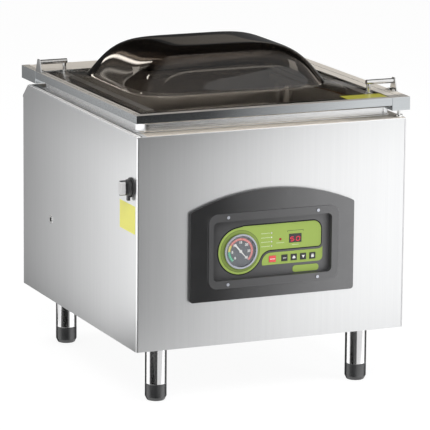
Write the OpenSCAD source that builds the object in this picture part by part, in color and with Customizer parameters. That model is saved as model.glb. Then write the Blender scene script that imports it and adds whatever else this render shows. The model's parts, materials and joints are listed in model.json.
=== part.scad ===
// Chamber vacuum sealer: folded steel cabinet on four legs, vacuum chamber with two seal bars,
// hinged lid with a domed window, arched control bezel, and a vacuum pump inside.
// Millimetres. Origin on the floor under the middle of the cabinet. +X right, -Y front, +Z up.

/* [Cabinet] */
// Width of the cabinet
cab_w = 560; // [550:1:600]
// Depth of the cabinet
cab_d = 614; // [606:1:650]
// Height of the cabinet, without its legs
cab_h = 416; // [406:1:460]
// Thickness of the sheet steel
sheet_t = 1.5; // [1:0.1:2]
// Outer radius of a fold
bend_r = 3; // [2.5:0.1:3.5]
// Width of the seam between two panels
seam = 0.6; // [0.3:0.1:0.9]
// Depth of the slope at the rear top edge
slope_y = 30; // [26:1:32]
// Height of the slope at the rear top edge
slope_z = 27; // [22:1:32]
// Radius of the side access hole
access_r = 6; // [5:0.5:8]
// Height of the access hole above the cabinet's bottom
access_up = 165; // [120:1:220]
// Distance from the cabinet's rear to the access hole
access_in = 160; // [120:1:220]
// Length of a vent slot in the rear panel
vent_l = 70; // [50:1:90]
// Height of a vent slot
vent_h = 5; // [3:0.5:7]
// Vent slots in a column
vent_n = 7; // [3:1:9]

/* [Legs] */
// Height from the floor to the cabinet
leg_h = 114; // [100:1:150]
// Outer radius of a leg tube
leg_r = 21; // [20:0.5:24]
// Wall of a leg tube
leg_wall = 2; // [1.5:0.25:3]
// Distance from the cabinet's side to the middle of a leg
leg_in_x = 68; // [50:1:90]
// Distance from the cabinet's front or rear to the middle of a leg
leg_in_y = 67.5; // [50:0.5:90]
// Height of a plastic foot
foot_h = 33; // [26:1:40]
// Height of the tapered part of a foot
foot_taper_h = 8; // [4:0.5:12]
// Radius of a foot where it meets the floor
foot_tip_r = 17; // [14:0.5:19]
// Radius of a foot's stud
stud_r = 8; // [6:0.5:10]
// Length of a foot's stud
stud_l = 26; // [18:1:32]
// Thickness of the plug that takes the stud
plug_t = 14; // [10:1:16]

/* [Chamber] */
// Distance from the cabinet's side to the chamber rim
rim_side = 17; // [15:1:30]
// Distance from the cabinet's front to the rim
rim_front = 32; // [29:1:36]
// Distance from the cabinet's rear to the rim
rim_rear = 67; // [64:1:80]
// Outer corner radius of the rim
rim_r = 22; // [16:1:30]
// Width of the rim's wall
rim_t = 8; // [6:0.5:10]
// Height of the rim above the deck
rim_h = 17; // [16:0.5:18]
// Width of the weld flange round the rim
rim_flange = 3; // [2:0.5:4]
// Thickness of the weld flange
rim_flange_t = 2.5; // [1.5:0.25:4]
// Depth of the chamber below the deck
tub_depth = 120; // [100:1:130]
// Thickness of the chamber's sheet
tub_t = 2; // [1.5:0.25:3]
// Radius of the suction port
port_r = 10; // [8:0.5:12]
// Distance from the chamber's rear wall to the suction port
port_in = 16; // [14:0.5:18]
// Space between a seal bar's end and the chamber's front or rear wall
bar_end = 19.5; // [16.5:0.5:40]
// Width of a seal bar
bar_w = 16; // [14:0.5:18]
// Height of a seal bar
bar_h = 20; // [18:0.5:22]
// Distance from the chamber's side wall to the middle of a seal bar
bar_in = 25; // [20:0.5:30]
// Depth of a resting seal bar's foot below the deck
bar_drop = 18; // [17:0.5:24]
// Travel of a seal bar when it presses
bar_lift = 8; // [6:0.5:8]
// Width of the tape on a seal bar
tape_w = 10; // [8:0.5:12]
// Thickness of the tape on a seal bar
tape_t = 0.8; // [0.4:0.1:1.2]
// Radius of the pin that guides a seal bar
guide_r = 5; // [4:0.25:6]
// Length of the pin that guides a seal bar
guide_l = 14; // [12:0.5:15]
// Radius of a lift cylinder
lift_r = 10; // [8:0.5:12]
// Share of a bar's length between its two lift cylinders
lift_span = 0.64; // [0.5:0.02:0.8]
// Thickness of the filler plate
filler_t = 20; // [14:1:30]
// Space between the filler plate and a seal bar
filler_side = 5; // [4:0.5:10]
// Space between the filler plate and the chamber's front and rear walls
filler_end = 28; // [24:1:40]

/* [Bezel] */
// Middle of the control panel, measured from the cabinet's middle
panel_x = -2.5; // [-10:0.5:10]
// Height of the bezel's lower edge above the cabinet's bottom
bezel_up = 88; // [70:1:96]
// Width of the bezel
bezel_w = 342; // [320:1:360]
// Height of the bezel at the middle of its arch
bezel_h = 211.5; // [206:0.5:220]
// Radius of the arch
arch_r = 416; // [380:1:480]
// Corner radius of the bezel
bezel_r = 6; // [4:0.5:8]
// Thickness of the bezel
bezel_t = 6.5; // [5:0.5:8]
// How far the frame round the recess stands proud
frame_t = 1.5; // [1:0.25:2.5]
// Width of the frame beside the recess
frame_side = 12; // [10:0.5:14]
// Height of the frame above and below the recess
frame_band = 15.5; // [14:0.5:18]
// Corner radius of the frame
frame_r = 18; // [14:0.5:22]
// Distance from the bezel's lower edge to the middle of the recess
panel_up = 96; // [92:0.5:100]
// Width of the recess
recess_w = 247; // [244:1:256]
// Height of the recess
recess_h = 115; // [112:1:118]
// Corner radius of the recess
recess_r = 9; // [6:0.5:12]
// Depth of the recess
recess_depth = 14; // [12:0.5:18]
// Wall of the recess tray
tray_t = 2; // [1.5:0.25:3]
// Distance between two screws, side to side
screw_span_x = 187.5; // [170:0.5:200]
// Radius of a screw's head
screw_head_r = 3.2; // [2.8:0.1:3.8]
// Radius of a screw's shank
screw_r = 1.8; // [1.4:0.1:2.1]

/* [Overlay] */
// Thickness of the black border film
border_t = 0.5; // [0.3:0.1:0.8]
// Thickness of the green overlay
overlay_t = 0.6; // [0.4:0.1:1]
// Width of the black border that shows
border_w = 2.2; // [1.5:0.1:3]
// Radius of the round field behind the gauge
disc_r = 45.3; // [43:0.1:46]
// Middle of the round field, measured from the recess's middle
disc_x = -62.7; // [-66:0.1:-60]
// Height of the round field's middle above the recess's middle
disc_z = -5.2; // [-7:0.1:-3]
// Height of the upper field's top above the recess's middle
field_top = 42.4; // [41:0.1:46]
// Height of the upper field's bottom above the recess's middle
field_bottom = -8; // [-9:0.1:-7]
// Right edge of the upper field, measured from the recess's middle
field_right = 106.5; // [104:0.1:108]
// Upper corner radius of the upper field
field_r = 17; // [12:0.5:20]
// Lower corner radius of the upper field
field_low_r = 6; // [5:0.5:8]
// Radius of the hollow between the round field and the upper field
hollow_r = 24; // [23:0.5:27]
// Width of the groove between the upper field and the key strip
groove = 5.5; // [5:0.1:6.5]
// Height of the key strip's lower edge above the recess's middle
strip_bottom = -37.3; // [-39:0.1:-36.5]
// Right edge of the key strip, measured from the recess's middle
strip_right = 110; // [108.5:0.1:111]
// Lower corner radius of the key strip
strip_r = 9; // [6:0.5:10]
// Width of the blank badge
badge_w = 55; // [48:0.5:60]
// Height of the blank badge
badge_h = 13; // [11:0.5:13.5]
// Right edge of the blank badge, measured from the recess's middle
badge_right = 102.2; // [98:0.2:106]
// Height of the badge's middle above the recess's middle
badge_z = -49.2; // [-50:0.1:-47]

/* [Keys and display] */
// Width of a key
key_w = 12.4; // [11:0.2:13.4]
// Width of the stop key
stop_w = 14; // [12:0.2:14.4]
// Distance from one key to the next
key_pitch = 19.6; // [18:0.1:20]
// Middle of the first key, measured from the recess's middle
key_x = 30; // [28:0.1:31]
// Distance from the stop key to the first key
stop_pitch = 25.4; // [22:0.1:26]
// Height of the keys' middle above the recess's middle
key_z = -26; // [-27:0.1:-25.5]
// How far a key stands proud of the overlay
key_proud = 1; // [0.8:0.1:1.4]
// Travel of a key
key_travel = 0.6; // [0.3:0.05:0.7]
// Width of the edge that holds a key behind the tray
key_edge = 1; // [0.6:0.1:1.2]
// Thickness of that edge
key_edge_t = 0.8; // [0.6:0.1:1.2]
// Width of the display
display_w = 26; // [22:0.5:28]
// Height of the display
display_h = 17; // [14:0.5:18]
// Middle of the display, measured from the recess's middle
display_x = 52.3; // [48:0.1:56]
// Height of the display's middle above the recess's middle
display_z = 11.5; // [9:0.1:14]
// Radius of a status lamp
lamp_r = 1.4; // [1:0.1:2]
// Status lamps in the column
lamp_n = 4; // [2:1:4]
// Distance from one status lamp to the next
lamp_pitch = 8.5; // [7:0.1:9]
// Column of the status lamps, measured from the recess's middle
lamp_x = 2.5; // [0:0.1:6]
// Height of the top status lamp above the recess's middle
lamp_z = 25; // [24:0.1:28]
// Place of the single lamp, measured from the recess's middle
power_lamp_x = 20.9; // [16:0.1:26]
// Thickness of the circuit board
board_t = 1.6; // [1:0.2:2.4]

/* [Gauge] */
// Radius of the gauge's rim
gauge_r = 34.3; // [33:0.1:36]
// Width of the gauge's rim
gauge_rim = 4.2; // [3:0.1:5]
// How far the gauge's rim stands proud of the overlay
gauge_proud = 5.5; // [5.5:0.25:7]
// Radius of the gauge's body behind the panel
gauge_body_r = 29; // [26:0.5:30]
// Length of the gauge's body behind the panel
gauge_depth = 34; // [24:1:40]
// Thickness of the gauge's lens
lens_t = 1.2; // [0.8:0.1:1.4]
// Thickness of the dial
dial_t = 0.6; // [0.4:0.1:0.8]
// Thickness of the floor behind the dial
well_t = 1; // [0.8:0.1:1.2]
// Radius of the needle's spindle
spindle_r = 1.5; // [1:0.1:2]
// Length of the needle's tip
needle_l = 22; // [18:0.5:26]
// Length of the needle's tail
tail_l = 17; // [10:0.5:19]
// Angle of the resting needle below the horizontal, in degrees
needle_rest = 49; // [30:1:60]

/* [Power switch] */
// Distance from the cabinet's front to the switch's middle
switch_in = 27; // [24:0.5:40]
// Height of the switch's middle above the cabinet's bottom
switch_up = 315; // [290:1:320]
// Radius of the switch's mounting plate
switch_r = 19; // [16:0.5:20]
// Thickness of the mounting plate
switch_plate_t = 3; // [2:0.5:4]
// Radius of the knob's skirt
knob_r = 16; // [13:0.5:17]
// Thickness of the knob's skirt
knob_skirt_t = 6; // [4:0.5:8]
// How far the knob stands out of the side panel
switch_out = 24; // [22:0.5:26]
// Width of the knob's grip
grip_w = 13; // [10:0.5:14]
// Length of the knob's grip
grip_l = 29; // [20:0.5:30]
// Length of the pointer below the knob's middle
pointer_l = 25; // [20:0.5:28]
// Width of the pointer
pointer_w = 7; // [5:0.5:9]
// Radius of the knob's shaft
knob_shaft_r = 3; // [2.5:0.25:4]
// Radius of the switch's neck in the side panel
neck_r = 10; // [8:0.5:11]
// Depth of the switch behind the side panel
switch_depth = 18; // [14:0.5:20]

/* [Labels] */
// Width of the side label
side_label_w = 77; // [60:1:90]
// Height of the side label
side_label_h = 54; // [40:1:60]
// Distance from the cabinet's front to the side label
side_label_in = 8.5; // [6:0.5:20]
// Height from the top of the side label up to the switch's axis
side_label_drop = 34; // [26:0.5:44]
// Width of the lid label
lid_label_w = 84; // [60:1:90]
// Depth of the lid label
lid_label_d = 42; // [30:1:50]
// Thickness of a label
label_t = 0.3; // [0.2:0.05:0.5]

/* [Lid] */
// Overhang of the lid at each side
lid_over = 4; // [2:0.5:6]
// Overhang of the lid at the front
lid_front_over = 6.5; // [5:0.5:8]
// Distance from the cabinet's rear to the lid's rear edge
lid_rear_in = 9.3; // [8:0.1:12]
// Thickness of the lid frame
lid_t = 15.6; // [15.2:0.1:18]
// Space between the rim and the underside of the lid frame
lid_up = 3.7; // [3.5:0.1:4.2]
// Wall of the lid frame's side
frame_wall = 2; // [1.5:0.25:2.5]
// Thickness of the lid frame's top lip
lip_t = 1.5; // [1:0.1:2]
// Width of the left rail's top lip
lip_left = 14.5; // [12:0.5:18]
// Width of the right rail's top lip
lip_right = 37; // [34:1:38]
// Width of the front rail's top lip
lip_front = 14; // [12:0.5:16]
// Width of the rear rail's top lip
lip_rear = 79; // [77:0.5:79]
// Width of the line pressed into a lip
line_w = 2; // [1:0.25:3]
// Depth of the line pressed into a lip
line_t = 0.6; // [0.3:0.1:0.8]
// Tilt at which the lid rests, in degrees
lid_tilt = 0.5; // [0.45:0.01:0.6]
// Length of a corner block at the rear left
block_rear_l = 79; // [60:1:79]
// How far that block stands behind the lid
block_rear_out = 5; // [3:0.5:5]
// Width of the rear corner block
block_rear_w = 19; // [14:0.5:20]
// Width of the front right corner block
block_front_w = 38; // [30:0.5:38]
// Depth of the front right corner block
block_front_l = 34; // [28:0.5:34]
// How far the corner blocks hang below the lid frame
block_down = 10.4; // [8:0.2:11]

/* [Window] */
// Thickness of the acrylic plate
plate_t = 12; // [10:0.5:12.5]
// Wall of the dome
dome_t = 6; // [4:0.5:7]
// Height of the dome above the plate
dome_h = 77; // [60:0.5:85]
// Half of the dome's width
dome_a = 209; // [190:0.5:212]
// Half of the dome's depth
dome_b = 181.5; // [160:0.5:182]
// Middle of the dome, measured from the cabinet's middle
dome_x = 5.5; // [0:0.5:10]
// Distance from the dome's rear edge to the rear lip
dome_rear = 0.7; // [0.5:0.1:10]
// Corner exponent of the dome's outline: 2 is an ellipse, more is squarer
dome_k = 5.5; // [4:0.5:8]
// Shoulder exponent of the dome: more makes its top flatter
dome_p = 5.7; // [4:0.1:7]
// Foot exponent of the dome: more makes its foot softer
dome_q = 1.33; // [1:0.005:1.6]
// Width of a counter bar
counter_w = 18; // [14:0.5:20]
// Height of the gap left between a raised seal bar and a counter bar
bar_gap = 0.7; // [0.5:0.1:1.5]

/* [Lid brackets] */
// Radius of the bracket bars
bracket_r = 4.8; // [4:0.1:5.5]
// Length of the bracket bars
bracket_l = 53; // [48:0.5:56]
// Height of the bracket bars above the lid
bracket_up = 20; // [16:0.5:24]
// Thickness of a bracket's leg plate
bracket_t = 2.5; // [2:0.25:3.5]
// Width of the leg plate at its foot
bracket_foot = 30; // [24:1:34]
// Radius of a bracket's inner post
post_r = 4; // [3:0.25:4.5]
// Distance from the lid's front edge to the front bracket
bracket_front = 70.5; // [60:0.5:90]
// Distance from the rear lip to the rear bracket
bracket_rear = 12; // [10:0.5:30]

/* [Hinge] */
// Height of the hinge axis above the deck
hinge_up = 11; // [10.8:0.1:11.4]
// Distance from the cabinet's rear to the hinge axis
hinge_in = 28; // [27:0.5:29]
// Distance between the middles of the two hinges
hinge_span = 360; // [240:1:440]
// Radius of the hinge pin
pin_r = 4; // [3:0.25:4.5]
// Radius of a hinge lug
lug_r = 8; // [7.5:0.1:8.4]
// Thickness of a hinge lug
lug_t = 8; // [6:0.5:10]
// Width of the knuckle between two lugs
knuckle_w = 36; // [28:0.5:44]
// Thickness of the hinge's base
hinge_base_t = 3; // [2:0.25:3.5]
// Depth of the hinge's base
hinge_base_d = 26; // [20:0.5:27]

/* [Start plunger] */
// Distance from the cabinet's side to the plunger
plunger_in_x = 11; // [10.5:0.5:13]
// Distance from the cabinet's front to the plunger
plunger_in_y = 12; // [11.5:0.5:15]
// Radius of the plunger's base
plunger_base_r = 7.5; // [6:0.25:7.5]
// Height of the plunger's base
plunger_base_h = 4.5; // [3:0.25:6]
// Radius of the plunger
plunger_r = 3.3; // [2.5:0.1:3.8]
// Radius of the sleeve below the deck
sleeve_r = 6; // [5:0.25:6.5]
// Length of the sleeve below the deck
sleeve_l = 18; // [12:0.5:24]

/* [Pump] */
// Radius of the motor
motor_r = 66; // [56:1:70]
// Length of the motor
motor_l = 180; // [150:1:190]
// Height of the motor's axis above the base plate
motor_up = 90; // [78:1:100]
// Distance from the cabinet's rear to the motor's axis
motor_in = 155; // [140:1:165]
// Left end of the motor, measured from the cabinet's middle
motor_x = -205; // [-210:1:-190]
// Wall of the motor's casing and cowl
casing_t = 2; // [1.5:0.5:4]
// Radius of the motor's shaft
shaft_r = 8; // [6:0.5:10]
// Radius of the rotor's core
core_r = 38; // [30:1:44]
// Air gap round the rotor's core
air_gap = 1; // [0.6:0.1:1.5]
// Radius of the cooling fan
fan_r = 58; // [48:1:60]
// Width of the cooling fan
fan_w = 22; // [16:1:26]
// Blades of the cooling fan
fan_n = 8; // [5:1:9]
// Length of the pump
pump_l = 150; // [130:1:180]
// Depth of the pump
pump_d = 140; // [120:1:160]
// Height of the pump
pump_h = 150; // [130:1:156]
// Height of the pump's feet
pump_foot = 12; // [8:1:16]
// Radius of the exhaust filter
filter_r = 30; // [24:1:36]
// Radius of the exhaust outlet
outlet_r = 20; // [14:1:22]
// How far the exhaust outlet stands out of the rear panel
outlet_out = 8; // [6:0.5:10]
// Outer radius of the vacuum hose
hose_r = 13; // [11:0.5:15]
// Wall of the vacuum hose
hose_t = 3; // [2:0.25:4]
// Side of the square valve block
valve_w = 44; // [36:1:44]
// Height of the valve block
valve_h = 40; // [30:1:50]
// Width of the sealing transformer
trafo_w = 90; // [70:1:110]
// Height of the sealing transformer
trafo_h = 84; // [60:1:100]

/* [Cable gland] */
// Height of the gland above the cabinet's bottom
gland_up = 46; // [36:1:80]
// Distance from the cabinet's rear to the gland
gland_in = 57; // [40:1:80]
// Radius of the cable that the gland takes
cable_r = 4.5; // [3:0.25:5]
// Radius of the gland's body in the side panel
gland_r = 8; // [7:0.25:9]
// Radius of the gland's nuts, corner to corner
gland_nut_r = 12; // [11:0.5:14]
// How far the gland stands out of the side panel
gland_out = 21; // [18:0.5:24]

/* [Clearances] */
// Gap between pieces that move past each other
gap = 0.3; // [0.25:0.05:0.4]
// Radial running clearance of a shaft in its bore
run = 0.05; // [0.03:0.01:0.08]

/* [Hidden] */
$fn = 64;

steel = [0.80, 0.80, 0.79];
chrome = [0.88, 0.88, 0.88];
dark = [0.13, 0.13, 0.14];
green = [0.60, 0.72, 0.32];

// Faces of the cabinet and of its panels
side_x = cab_w / 2;
front_y = -cab_d / 2;
rear_y = cab_d / 2;
deck_z = leg_h + cab_h;
base_z = leg_h + sheet_t;
leg_x = side_x - leg_in_x;
leg_y = rear_y - leg_in_y;

// Slope at the rear top edge: its upper edge, and both edges of the sheet below it
slope_len = sqrt(slope_y * slope_y + slope_z * slope_z);
slope_start = rear_y - slope_y;
function slope_at(y, inset) =
  deck_z - (y - slope_start) * slope_z / slope_y - inset * slope_len / slope_y;
function slope_top(inset) = slope_start - inset * (slope_len - slope_y) / slope_z;

// Chamber
rim_w = cab_w - 2 * rim_side;
rim_d = cab_d - rim_front - rim_rear;
rim_y = front_y + rim_front + rim_d / 2;
tub_w = rim_w - 2 * rim_t;
tub_d = rim_d - 2 * rim_t;
tub_r = rim_r - rim_t;
tub_z = deck_z - tub_depth;
port_y = rim_y + tub_d / 2 - port_in;
bar_l = tub_d - 2 * bar_end;
bar_x = tub_w / 2 - bar_in;
bar_z = deck_z - bar_drop;
lift_y = bar_l * lift_span / 2;
filler_w = 2 * (bar_x - bar_w / 2 - filler_side);
filler_d = tub_d - 2 * filler_end;

// Control panel, from its front face to its circuit board
panel_z = leg_h + bezel_up + panel_up;
bezel_y = front_y - bezel_t;
frame_y = bezel_y - frame_t;
tray_y = frame_y + recess_depth;
border_y = tray_y - border_t;
overlay_y = border_y - overlay_t;
key_back_y = tray_y + tray_t + gap + key_edge_t;
board_y = key_back_y + key_travel + gap;
frame_w = recess_w + 2 * frame_side;
frame_h = recess_h + 2 * frame_band;
screw_span_z = recess_h + frame_band;
badge_x = badge_right - badge_w / 2;
hollow_z = field_bottom - hollow_r;
hollow_x = disc_x + sqrt(pow(disc_r + hollow_r, 2) - pow(disc_z - hollow_z, 2));

// Gauge, from its rim to the spindle's end
gauge_y = overlay_y - gauge_proud;
lens_y = gauge_y + gap;
well_y = overlay_y - well_t;
dial_y = well_y - dial_t;
needle_t = 0.6;
needle_y = dial_y - gap - needle_t;

// Power switch
switch_y = front_y + switch_in;
switch_z = leg_h + switch_up;

// Lid frame, as it lies before it is tilted
lid_x = side_x + lid_over;
lid_front = front_y - lid_front_over;
lid_rear = rear_y - lid_rear_in;
lid_z0 = deck_z + rim_h + lid_up;
lid_z1 = lid_z0 + lid_t;
plate_z1 = lid_z1 - lip_t;
plate_z0 = plate_z1 - plate_t;
plate_x = lid_x - frame_wall;
plate_front = lid_front + frame_wall;
plate_rear = lid_rear - frame_wall;
lip_rear_y = lid_rear - lip_rear;
block_z0 = lid_z0 - block_down;
dome_y = lip_rear_y - dome_rear - dome_b;

// Hinge
hinge_y = rear_y - hinge_in;
hinge_z = deck_z + hinge_up;
function tilted_z(y, z) =
  hinge_z + (z - hinge_z) * cos(lid_tilt) - (y - hinge_y) * sin(lid_tilt);
counter_z = bar_z + bar_h + tape_t + bar_lift + bar_gap;

// Start plunger
plunger_x = side_x - plunger_in_x;
plunger_y = front_y + plunger_in_y;
plunger_z1 = tilted_z(plunger_y, block_z0) - gap;

// Pump
motor_y = rear_y - motor_in;
motor_z = base_z + motor_up;
motor_end = motor_x + motor_l;
fan_x = motor_x - gap - 4 - fan_w;
pump_y0 = motor_y - pump_d / 2;
pump_y1 = motor_y + pump_d / 2;
pump_z0 = base_z + pump_foot;
pump_z1 = pump_z0 + pump_h;
pump_x1 = motor_end + pump_l;
filter_x = motor_end + pump_l / 2;
valve_z = tub_z - tub_t - valve_h;

// Cable gland
gland_y = rear_y - gland_in;
gland_z = leg_h + gland_up;

// ---- Shapes ----

module box(low, high) {
  translate(low) cube(high - low);
}

module round_rect(w, h, r) {
  square([w - 2 * r, h], center = true);
  square([w, h - 2 * r], center = true);
  for (x = [-1, 1], y = [-1, 1])
    translate([x * (w / 2 - r), y * (h / 2 - r)]) circle(r);
}

// What a fillet of radius r takes off a top left corner at the origin
module corner_waste(r) {
  difference() {
    translate([-1, -r]) square([r + 1, r + 1]);
    translate([r, -r]) circle(r);
  }
}

// An X-Z outline as a slab from y0 to y1
module slab_y(y0, y1) {
  translate([0, y1, 0]) rotate([90, 0, 0]) linear_extrude(y1 - y0) children();
}

// A Y-Z outline as a slab from x0 to x1
module slab_x(x0, x1) {
  translate([x0, 0, 0]) rotate([90, 0, 90]) linear_extrude(x1 - x0) children();
}

module rod_x(x0, x1, r) {
  translate([x0, 0, 0]) rotate([0, 90, 0]) cylinder(h = x1 - x0, r = r);
}

module rod_y(y0, y1, r) {
  translate([0, y0, 0]) rotate([-90, 0, 0]) cylinder(h = y1 - y0, r = r);
}

module rod_z(z0, z1, r) {
  translate([0, 0, z0]) cylinder(h = z1 - z0, r = r);
}

function arc(x, y, r, a0, a1, n) =
  [for (i = [0:n]) let (a = a0 + (a1 - a0) * i / n) [x + r * cos(a), y + r * sin(a)]];

// ---- Cabinet ----

// Side outline of what lies under the deck's folded edge
module under_deck() {
  polygon([[front_y, leg_h], [front_y, deck_z - bend_r], [slope_top(bend_r), deck_z - bend_r],
    [rear_y, slope_at(rear_y, bend_r)], [rear_y, leg_h]]);
}

// A side panel: flat sheet whose front and rear edges are folded to the corner
module side_panel(side) {
  intersection() {
    translate([0, 0, leg_h]) linear_extrude(cab_h) intersection() {
      difference() {
        round_rect(cab_w, cab_d, bend_r);
        round_rect(cab_w - 2 * sheet_t, cab_d - 2 * sheet_t, bend_r - sheet_t);
      }
      translate([side * (side_x - bend_r / 2), 0]) square([bend_r, cab_d], center = true);
    }
    slab_x(-cab_w, cab_w) under_deck();
  }
}

module left_side_panel() {
  color(steel) difference() {
    side_panel(-1);
    translate([-side_x - 1, rear_y - access_in, leg_h + access_up])
      rod_x(0, sheet_t + 2, access_r);
    translate([-side_x - 1, switch_y, switch_z]) rod_x(0, sheet_t + 2, neck_r + gap);
  }
}

module right_side_panel() {
  color(steel) difference() {
    side_panel(1);
    translate([side_x - sheet_t - 1, gland_y, gland_z]) rod_x(0, sheet_t + 2, gland_r + gap);
  }
}

module front_panel() {
  half = side_x - bend_r - seam;
  color(steel) difference() {
    box([-half, front_y, leg_h], [half, front_y + sheet_t, deck_z - bend_r]);
    translate([panel_x, 0, panel_z]) {
      slab_y(front_y - 1, front_y + sheet_t + 1) tray_outline(tray_t + gap);
      screw_places() rod_y(front_y - 1, front_y + sheet_t + 1, screw_r + gap);
    }
  }
}

module rear_panel() {
  half = side_x - bend_r - seam;
  vent_pitch = 3 * vent_h;
  color(steel) difference() {
    intersection() {
      box([-half, rear_y - sheet_t, leg_h], [half, rear_y, deck_z]);
      slab_x(-cab_w, cab_w) under_deck();
    }
    for (i = [0:vent_n - 1])
      translate([fan_x, rear_y - sheet_t - 1, motor_z + (i - (vent_n - 1) / 2) * vent_pitch])
        cube([vent_l, sheet_t + 2, vent_h]);
    translate([filter_x, 0, motor_z]) rod_y(rear_y - sheet_t - 1, rear_y + 1, outlet_r + gap);
  }
}

module base_plate() {
  color(steel) translate([0, 0, leg_h]) linear_extrude(sheet_t)
    round_rect(cab_w - 2 * sheet_t - 2 * gap, cab_d - 2 * sheet_t - 2 * gap, bend_r);
}

// The deck's outer or inner surface, with its folded front, side and rear edges
module deck_blank(inset) {
  r = bend_r - inset;
  half = side_x - inset;
  y0 = front_y + inset;
  y1 = rear_y - inset;
  z1 = deck_z - inset;
  intersection() {
    slab_x(-half, half) difference() {
      polygon([[y0, leg_h], [y0, z1], [slope_top(inset), z1], [y1, slope_at(y1, inset)],
        [y1, leg_h]]);
      translate([y0, z1]) corner_waste(r);
    }
    slab_y(-cab_d, cab_d) difference() {
      translate([-half, leg_h]) square([2 * half, z1 - leg_h]);
      for (side = [0, 1]) mirror([side, 0]) translate([-half, z1]) corner_waste(r);
    }
  }
}

module top_deck() {
  color(steel) difference() {
    deck_blank(0);
    deck_blank(sheet_t);
    slab_x(-cab_w, cab_w) polygon([[-cab_d, 0], [-cab_d, deck_z - bend_r],
      [slope_top(bend_r), deck_z - bend_r], [cab_d, slope_at(cab_d, bend_r)], [cab_d, 0]]);
    translate([0, rim_y, deck_z - sheet_t - 1]) linear_extrude(sheet_t + 2)
      round_rect(tub_w + 2 * (tub_t + gap), tub_d + 2 * (tub_t + gap), tub_r + tub_t + gap);
    translate([plunger_x, plunger_y, 0]) rod_z(deck_z - sheet_t - 1, deck_z + 1, sleeve_r + gap);
  }
}

// A ring that lines the access hole
module side_grommet() {
  lip = 2.2;
  lip_h = 1;
  color(chrome) translate([-side_x, rear_y - access_in, leg_h + access_up]) difference() {
    union() {
      rod_x(-lip_h, 0, access_r + lip);
      rod_x(0, sheet_t + lip_h, access_r - gap / 2);
    }
    rod_x(-lip_h - 1, sheet_t + lip_h + 1, access_r - gap / 2 - 1.4);
  }
}

module side_label() {
  y0 = front_y + side_label_in;
  z0 = switch_z - side_label_drop - side_label_h;
  color("gold")
    box([-side_x - label_t, y0, z0], [-side_x, y0 + side_label_w, z0 + side_label_h]);
}

// ---- Chamber ----

module chamber_tub() {
  color(steel) difference() {
    translate([0, rim_y, tub_z - tub_t]) linear_extrude(tub_depth + tub_t)
      round_rect(tub_w + 2 * tub_t, tub_d + 2 * tub_t, tub_r + tub_t);
    translate([0, rim_y, tub_z]) linear_extrude(tub_depth + 1)
      round_rect(tub_w, tub_d, tub_r);
    translate([filter_x, port_y, 0]) rod_z(tub_z - tub_t - 1, tub_z + 1, port_r);
  }
}

module chamber_rim() {
  color(steel) translate([0, rim_y, deck_z]) difference() {
    union() {
      linear_extrude(rim_h) round_rect(rim_w, rim_d, rim_r);
      linear_extrude(rim_flange_t)
        round_rect(rim_w + 2 * rim_flange, rim_d + 2 * rim_flange, rim_r + rim_flange);
    }
    translate([0, 0, -1]) linear_extrude(rim_h + 2) round_rect(tub_w, tub_d, tub_r);
  }
}

// Four lift cylinders, each with the pin that guides a seal bar
module lift_posts() {
  color(chrome) for (x = [-1, 1], y = [-1, 1]) translate([x * bar_x, rim_y + y * lift_y, 0]) {
    rod_z(tub_z, bar_z - gap, lift_r);
    rod_z(bar_z - gap, bar_z + guide_l, guide_r);
  }
}

module seal_bar(side) {
  color(chrome) translate([side * bar_x, rim_y, bar_z]) difference() {
    box([-bar_w / 2, -bar_l / 2, 0], [bar_w / 2, bar_l / 2, bar_h]);
    for (y = [-1, 1]) translate([0, y * lift_y, 0]) rod_z(-1, guide_l + gap, guide_r + run);
  }
}

module seal_tape(side) {
  color("peru") translate([side * bar_x, rim_y, bar_z + bar_h])
    box([-tape_w / 2, -bar_l / 2, 0], [tape_w / 2, bar_l / 2, tape_t]);
}

module seal_bar_left() seal_bar(-1);
module seal_bar_right() seal_bar(1);
module seal_tape_left() seal_tape(-1);
module seal_tape_right() seal_tape(1);

module filler_plate() {
  color("white") translate([0, rim_y, tub_z + gap]) linear_extrude(filler_t)
    round_rect(filler_w, filler_d, tub_r);
}

// ---- Legs ----

module leg_tubes() {
  z0 = foot_h + gap;
  color(chrome) for (x = [-1, 1], y = [-1, 1]) translate([x * leg_x, y * leg_y, 0])
    difference() {
      rod_z(z0, leg_h, leg_r);
      rod_z(z0 + plug_t, leg_h + 1, leg_r - leg_wall);
      rod_z(z0 - 1, z0 + plug_t + 1, stud_r + run);
    }
}

// A foot turns on the stud that adjusts its height
module foot(x, y) {
  color(dark) translate([x * leg_x, y * leg_y, 0]) rotate_extrude()
    polygon([[0, 0], [foot_tip_r, 0], [leg_r, foot_taper_h], [leg_r, foot_h],
      [stud_r, foot_h], [stud_r, foot_h + stud_l], [0, foot_h + stud_l]]);
}

module foot_front_left() foot(-1, -1);
module foot_front_right() foot(1, -1);
module foot_rear_left() foot(-1, 1);
module foot_rear_right() foot(1, 1);

// ---- Control panel: outlines are X-Z, measured from the middle of the recess ----

module tray_outline(grow) {
  round_rect(recess_w + 2 * grow, recess_h + 2 * grow, recess_r + grow);
}

module screw_places() {
  for (x = [-1, 1], z = [-1, 1])
    translate([x * screw_span_x / 2, 0, z * screw_span_z / 2]) children();
}

// Straight sides and foot, an arched top, and round corners that meet the arch smoothly
module bezel_outline() {
  foot_z = -panel_up;
  arch_z = foot_z + bezel_h - arch_r;
  corner_x = bezel_w / 2 - bezel_r;
  corner_z = arch_z + sqrt(pow(arch_r - bezel_r, 2) - corner_x * corner_x);
  lean = atan2(corner_z - arch_z, corner_x);
  polygon(concat(
    arc(corner_x, corner_z, bezel_r, 0, lean, 8),
    arc(0, arch_z, arch_r, lean, 180 - lean, 48),
    arc(-corner_x, corner_z, bezel_r, 180 - lean, 180, 8),
    arc(-corner_x, foot_z + bezel_r, bezel_r, 180, 270, 8),
    arc(corner_x, foot_z + bezel_r, bezel_r, 270, 360, 8)));
}

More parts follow.
